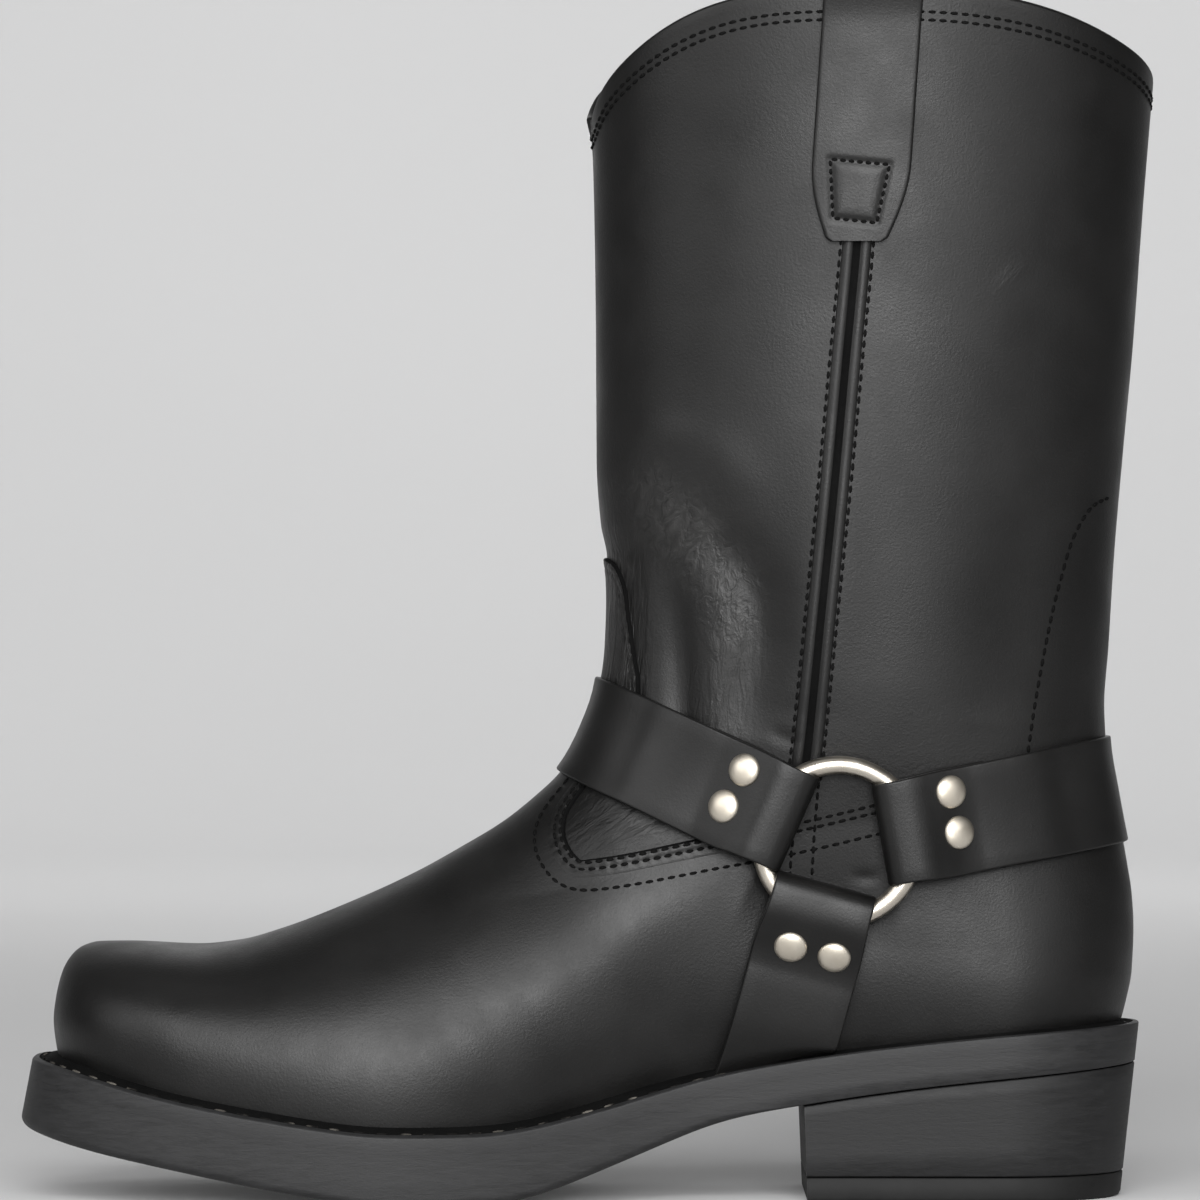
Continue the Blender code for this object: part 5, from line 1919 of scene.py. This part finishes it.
@dataclass
class Bottom:
    """Welt, outsole, insole, heel and lift."""

    stations: int = 320
    dense: int = 3000
    insole: float = 3.0
    insole_lift: float = 0.8
    insole_clear: float = 0.7
    insole_edge: tuple[Pair, ...] = ((0.8, 0.0), (0.2, 0.3), (0.0, 1.0))
    upper_ends: Pair = (-144.0, 146.4)
    end_share: float = 0.02
    welt_lift: float = 0.02
    welt_fall: float = -0.6
    welt_climb: float = 3.3
    welt_width: float = 6.5
    welt_clear: float = 0.5
    welt_edge: float = 0.5
    welt_side: float = 0.75
    welt_flattens_from: float = 10.0
    welt_flatness: float = 0.3
    welt_groove: tuple[Pair, ...] = ((1.7, 0.0), (2.1, 0.6), (2.8, 0.9), (3.4, 0.7), (4.0, 0.2))
    # Strips from the groove up to the upper, in the near-black ink as painted shade of the groove.
    welt_inked: range = range(7, 13)
    welt_sewing: float = 2.8
    welt_sewn_to: float = 52.0
    welt_pitch: float = 6.3
    welt_half_stitch: float = 1.7
    welt_thread_radius: float = 0.42
    welt_thread_drop: float = 0.35
    sole_edge: Pair = (2.2, 0.3)
    sole_edge_inset: float = 2.0
    sole_edge_steps: int = 6
    sole_edge_fades_from: float = 30.0
    sole_rims: Pair = (6.0, 8.0)
    heel_lift: float = 6.6
    breast_x: float = 58.0
    breast_lean: float = 0.04
    breast_stations: int = 24
    heel_narrowing: float = 0.001
    heel_stations: int = 60
    heel_crowding: float = 1.6
    heel_layers: Triple = (0.3, 0.6, 0.85)
    stack_edge: float = 0.4
    block_edge: float = 0.3
    lift_foot: tuple[Pair, ...] = ((0.0, 1.2), (0.35, 0.35), (1.2, 0.0))

    def shares(self) -> tuple[Array, Array]:
        """Shares of the length and sides that part the sole's outline into even lengths."""
        half = (1 - np.cos(np.linspace(0.0, math.pi, self.dense // 2))) / 2
        x = mix(FORM.sole_heel_x, FORM.sole_toe_x, half)
        outer = np.column_stack((x, FORM.sole_plan(x, Side.OUTER)))
        inner = np.column_stack((x, FORM.sole_plan(x, Side.INNER)))[::-1]
        reach = reach_along(np.concatenate((outer, inner[1:])))
        stops = np.linspace(0.0, reach[-1], self.stations + 1)[:-1]
        turn = np.interp(stops, reach, np.concatenate((half, 2 - half[::-1][1:])))
        return 1 - np.abs(1 - turn), np.where(turn <= 1, Side.OUTER, Side.INNER)

    def sole_ring(self, drop: Heights | float, inset: float = 0.0) -> Array:
        """Ring round the sole.

        Args:
            drop: How far it lies below the welt's top, or how that is read by x.
            inset: How far it lies inside the sole's edge.

        Returns:
            Places once round.
        """
        share, side = self.shares()
        x = mix(FORM.sole_heel_x, FORM.sole_toe_x, share)
        y = np.where(side < 0, FORM.sole_plan(x, Side.OUTER), FORM.sole_plan(x, Side.INNER))
        ring = np.column_stack((x, y, np.zeros(len(x))))
        if inset:
            around = np.roll(ring, -1, axis=0) - np.roll(ring, 1, axis=0)
            ring = ring + unit(np.cross(around, (0.0, 0.0, 1.0))) * inset
        deep = drop(ring[:, 0]) if callable(drop) else drop
        ring[:, 2] = SOLE.at("welt_top", ring[:, 0]) - deep
        ring[:, 0] += SOLE.at("slant", ring[:, 0]) * deep
        return ring

    def welt_tilt(self, x: Array, inset: float) -> Array:
        """How far the welt's sloping top lies below its plain height, so far inside its edge."""
        fade = mix(1.0, self.welt_flatness, ease(self.welt_flattens_from, self.breast_x, x))
        return fade * mix(self.welt_fall, -self.welt_climb, inset / self.welt_width)

    def welt_top_ring(self, drop: float, inset: float) -> Array:
        """Ring on the welt's sloping top."""
        return self.sole_ring(lambda x: drop + self.welt_tilt(x, inset), inset)

    def upper_ring(self, rise: float, clearance: float, tilted: bool = False) -> Array:
        """Ring round or inside the upper's foot.

        Args:
            rise: Height above the feather line.
            clearance: Distance off the upper's outer face; below zero, the ring lies inside.
            tilted: Whether it climbs with the welt's sloping top.

        Returns:
            Places once round.
        """
        share, side = self.shares()
        toe_z, heel_z = FORM.feather(np.array(self.upper_ends)) + rise
        toe = float(np.interp(toe_z, FORM.toe_zs, FORM.toe_xs))
        heel = float(np.interp(heel_z, FORM.back_zs, FORM.back_xs))
        x = mix(heel, toe, share)
        z = FORM.feather(x) + rise
        if tilted:
            z = z - self.welt_tilt(x, self.welt_width)
        if tilted or clearance < 0:
            clearance = clearance - TUCK.at("depth", x)
        ends = ease(0.0, self.end_share, share) * ease(0.0, self.end_share, 1 - share)
        y = FORM.wall_y(x, z, side) + side * clearance * ends
        return np.column_stack((x + mix(clearance, -clearance, share), y, z))

    def dress_welt(self, finishes: Finishes) -> None:
        """Welt with rounded edges and a sewing groove; the groove and the strips up to the upper are painted
        near-black as shade.
        """
        thick = FORM.welt - self.welt_lift
        rings = [self.sole_ring(thick), self.sole_ring(thick * self.welt_side)]
        for angle in np.linspace(0.0, math.pi / 2, EDGE_STEPS):
            drop = self.welt_edge * (1 - math.sin(angle))
            inset = self.welt_edge * (1 - math.cos(angle))
            rings.append(self.welt_top_ring(drop, inset))
        for inset, drop in self.welt_groove:
            rings.append(self.welt_top_ring(drop, inset))
        rings.append(self.upper_ring(FORM.welt, self.welt_clear, tilted=True))
        rings.append(self.upper_ring(self.welt_lift, self.welt_clear))
        bm = loft_of(np.array(rings).transpose(1, 0, 2), self.welt_inked, ring=True)
        hand_over("welt_strip", bm, (finishes.edge, finishes.ink), ("welt",))

    def dress_welt_stitches(self, finishes: Finishes) -> None:
        """Long stitches that lie in the welt's groove, from one side of the waist round the toe."""
        ring = self.welt_top_ring(self.welt_thread_drop, self.welt_sewing)
        fore = ring[ring[:, 0] < self.welt_sewn_to]
        stops = evenly(fore, self.welt_pitch)
        middles = (stops[:-1] + stops[1:]) / 2
        along = unit(np.diff(stops, axis=0))
        up = np.broadcast_to(np.array((0.0, 0.0, 1.0)), along.shape)
        across = unit(np.cross(up, along))
        work = StitchWork(None, self.welt_thread_radius)
        work.add(middles, along * self.welt_half_stitch, np.cross(along, across), across)
        hand_over("welt_stitches", work.mesh(), (finishes.welt_thread,))

    def sole_depth(self, x: Array) -> Array:
        """How far the outsole's underside lies below the welt's top."""
        return SOLE.at("welt_top", x) - SOLE.at("bottom", x)

    def sole_rounding(self, x: Array) -> Array:
        """Height of the outsole's rounded lower edge, which fades out before the heel."""
        return mix(*self.sole_edge, ease(self.sole_edge_fades_from, self.breast_x, x))

    def dress_outsole(self, finishes: Finishes) -> None:
        """Outsole with a rounded lower edge."""
        upper_rim, lower_rim = self.sole_rims
        rings = [self.sole_ring(FORM.welt, upper_rim), self.sole_ring(FORM.welt)]
        rings.append(self.sole_ring(lambda x: mix(FORM.welt, self.sole_depth(x), 0.5)))
        for angle in np.linspace(0.0, math.pi / 2, self.sole_edge_steps):
            low = 1 - math.sin(angle)
            inset = self.sole_edge_inset * (1 - math.cos(angle))
            rings.append(self.sole_ring(lambda x: self.sole_depth(x) - self.sole_rounding(x) * low, inset))
        rings.append(self.sole_ring(self.sole_depth, lower_rim))
        hand_over("outsole_leather", self.block(rings), (finishes.edge,), ("outsole",))

    def close_across(self, bm: bmesh.types.BMesh) -> None:
        """Closes the open rims of a bent plate with strips straight across it."""
        rims = [edge for edge in bm.edges if edge.is_boundary]
        bmesh.ops.holes_fill(bm, edges=rims, sides=0)
        broad = [face for face in bm.faces if len(face.verts) > 4]
        bmesh.ops.triangulate(bm, faces=broad, quad_method="BEAUTY", ngon_method="BEAUTY")
        bmesh.ops.recalc_face_normals(bm, faces=bm.faces)

    def dress_insole(self, finishes: Finishes) -> None:
        """Insole plate with a softened upper edge."""
        inset = -(FORM.wall + self.insole_clear)
        top = self.insole_lift + self.insole
        rings = [self.upper_ring(self.insole_lift, inset)]
        for below, further in self.insole_edge:
            rings.append(self.upper_ring(top - below, inset - further))
        hand_over("insole_plate", self.block(rings), (finishes.insole,), ("insole",))

    def heel_ring(self, height: Heights | float, inset: float = 0.0) -> Array:
        """Ring of the heel: from a breast corner round the back to the other and along the breast.

        Args:
            height: Height of the ring, or how it is read by x.
            inset: How far the ring lies inside the heel's face.

        Returns:
            Places once round.
        """
        shares = 1 - (1 - np.linspace(0.0, 1.0, self.heel_stations)) ** self.heel_crowding
        x = mix(self.breast_x, FORM.sole_heel_x, shares)
        z = height(x) if callable(height) else np.full(x.shape, height)
        deep = SOLE.at("welt_top", x) - z
        lean = mix(self.breast_lean, float(SOLE.at("slant", FORM.sole_heel_x)), shares)
        sides = []
        for side in Side:
            y = FORM.sole_plan(x, side) * (1 - self.heel_narrowing * deep)
            sides.append(np.column_stack((x + lean * deep, y, z)))
        ring = np.concatenate((sides[0], sides[1][-2::-1]))
        if inset:
            around = np.gradient(ring, axis=0)
            ring = ring + unit(np.cross(around * (1, 1, 0), (0.0, 0.0, -1.0))) * inset
        breast = mix(ring[-1], ring[0], np.linspace(0.0, 1.0, self.breast_stations)[1:-1, None])
        return np.concatenate((ring, breast))

    def stack_height(self, share: float, up: float = 0.0) -> Heights:
        """Height a share of the way up the heel block, and so much higher, read by x."""
        low = self.heel_lift + FORM.gap
        return lambda x: mix(low, SOLE.at("bottom", x) - FORM.gap, share) + up

    def dress_heel(self, finishes: Finishes) -> None:
        """Heel block with softened edges, and the lift below it."""
        low = self.heel_lift + FORM.gap
        edge = self.block_edge
        rings = [self.heel_ring(low, self.stack_edge), self.heel_ring(low + self.stack_edge)]
        rings += [self.heel_ring(self.stack_height(share)) for share in self.heel_layers]
        rings += [self.heel_ring(self.stack_height(1.0, -edge)), self.heel_ring(self.stack_height(1.0), edge)]
        hand_over("heel_stack", self.block(rings), (finishes.heel,), ("heel",))
        lift = [self.heel_ring(*place) for place in self.lift_foot]
        lift += [self.heel_ring(self.heel_lift - edge), self.heel_ring(self.heel_lift, edge)]
        hand_over("heel_lift_rubber", self.block(lift), (finishes.rubber,), ("heel_lift",))

    def block(self, rings: list[Array]) -> bmesh.types.BMesh:
        """Closed block through rings."""
        sections = np.array(rings)
        bm = sheet_of(np.concatenate((sections, sections[:, :1]), axis=1))
        bmesh.ops.remove_doubles(bm, verts=bm.verts, dist=WELD)
        self.close_across(bm)
        return bm

    def dress(self, finishes: Finishes) -> None:
        """Builds every piece below the upper."""
        self.dress_welt(finishes)
        self.dress_welt_stitches(finishes)
        self.dress_outsole(finishes)
        self.dress_insole(finishes)
        self.dress_heel(finishes)


@dataclass(frozen=True)
class Softbox:
    """Soft rectangular light, in metres and watts."""

    name: str
    power: float
    size: Pair
    place: Triple
    aim: Triple = (0.0, 0.0, 0.15)

    def build(self) -> None:
        """Puts the light in its place and points it at its aim."""
        data = bpy.data.lights.new(self.name, "AREA")
        data.shape = "RECTANGLE"
        data.size, data.size_y = self.size
        data.energy = self.power
        lamp = bpy.data.objects.new(self.name, data)
        lamp.location = self.place
        lamp.rotation_euler = (Vector(self.aim) - Vector(self.place)).to_track_quat("-Z", "Y").to_euler()
        bpy.context.scene.collection.objects.link(lamp)


TOE = (-0.12, 0.0, 0.05)
SOFTBOXES = (
    Softbox("front_softbox", 44.0, (0.95, 0.65), (0.2, -2.6, 0.6)),
    Softbox("left_softbox", 8.5, (0.7, 0.7), (-0.7, -2.5, 0.7)),
    Softbox("right_softbox", 8.5, (0.7, 0.7), (1.4, -1.7, 0.85)),
    Softbox("high_softbox", 50.0, (1.6, 0.9), (0.0, -2.3, 1.5)),
    Softbox("toe_softbox", 14.0, (1.1, 1.1), (-1.8, -1.2, 0.95), TOE),
    Softbox("high_toe_softbox", 8.0, (1.0, 0.8), (-1.3, -1.8, 1.9), TOE),
    Softbox("inner_fill", 2.0, (1.2, 0.9), (0.2, 2.4, 1.1)),
    Softbox("top_softbox", 4.5, (2.0, 2.0), (0.0, 0.0, 2.6)),
    Softbox("backdrop_light", 64.0, (4.0, 1.0), (0.0, 2.2, 2.4), (0.0, 4.4, 0.5)),
)


@dataclass(frozen=True)
class Studio:
    """Pale sweep, soft lights and the photograph's camera, in metres."""

    distance: float = 2.2
    height: float = 0.1626
    centre_x: float = 0.0034
    frame_width: float = 0.329
    sensor: float = 36.0
    clip_end: float = 50.0
    sweep_half: float = 6.0
    sweep_columns: int = 9
    floor_span: Pair = (-5.0, 2.0)
    bend_from: float = 3.0
    bend: float = 1.6
    bend_steps: int = 24
    wall_top: float = 5.0
    paper: tuple[Triple, Triple] = ((0.57, 0.57, 0.572), (0.59, 0.59, 0.592))
    paper_stops: Pair = (0.3, 0.8)
    paper_cloud: float = 1.2
    paper_roughness: float = 0.9
    paper_glow: float = 0.04
    air: float = 0.08

    def camera(self) -> None:
        """Level camera at the boot's outer side."""
        data = bpy.data.cameras.new("side_camera")
        data.sensor_width = self.sensor
        data.lens = self.sensor * self.distance / self.frame_width
        data.clip_end = self.clip_end
        camera = bpy.data.objects.new("side_camera", data)
        camera.location = (self.centre_x, -self.distance, self.height)
        camera.rotation_euler = (math.pi / 2, 0.0, 0.0)
        bpy.context.scene.collection.objects.link(camera)
        bpy.context.scene.camera = camera

    def sweep(self) -> None:
        """Floor that curves up into a pale backdrop."""
        columns = np.linspace(-self.sweep_half, self.sweep_half, self.sweep_columns)
        profile = [(y, 0.0) for y in self.floor_span]
        for angle in np.linspace(0.0, math.pi / 2, self.bend_steps):
            profile.append((self.bend_from + self.bend * math.sin(angle), self.bend * (1 - math.cos(angle))))
        profile.append((self.bend_from + self.bend, self.wall_top))
        bm = sheet_of(np.array([[(x, y, z) for x in columns] for y, z in profile]))
        mesh = bpy.data.meshes.new("studio_sweep")
        bm.to_mesh(mesh)
        bm.free()
        mesh.shade_smooth()
        mesh.materials.append(self.pale_paper())
        floor = bpy.data.objects.new("studio_sweep", mesh)
        bpy.context.scene.collection.objects.link(floor)

    def pale_paper(self) -> bpy.types.Material:
        """Finish of the sweep: matt paper with a hint of cloud."""
        sheet = NodeSheet("pale_paper")
        cloud = sheet.noise(self.paper_cloud, 2.0)
        colour = sheet.colours(cloud, *zip(self.paper_stops, self.paper))
        sheet.shade(Base_Color=colour)
        sheet.shade(Roughness=self.paper_roughness, Emission_Strength=self.paper_glow)
        sheet.shade(Emission_Color=(1.0, 1.0, 1.0, 1.0))
        return sheet.material

    def world(self) -> None:
        """Dim even light from all round."""
        world = bpy.data.worlds.new("studio_air")
        world.use_nodes = True
        background = world.node_tree.nodes["Background"]
        background.inputs["Color"].default_value = (1.0, 1.0, 1.0, 1.0)
        background.inputs["Strength"].default_value = self.air
        bpy.context.scene.world = world
        bpy.context.scene.view_settings.view_transform = "Standard"

    def dress(self) -> None:
        """Sets the studio up."""
        self.camera()
        self.sweep()
        self.world()
        for softbox in SOFTBOXES:
            softbox.build()


def main() -> None:
    """Builds the boot piece by piece and sets it in the studio."""
    logging.basicConfig(level=logging.INFO, format="%(name)s %(message)s")
    finishes = Finishes()
    Upper().dress(finishes)
    for side in Side:
        PullLoop(side).dress(finishes)
    Harness().dress(finishes)
    Bottom().dress(finishes)
    Studio().dress()


if __name__ == "__main__":
    main()
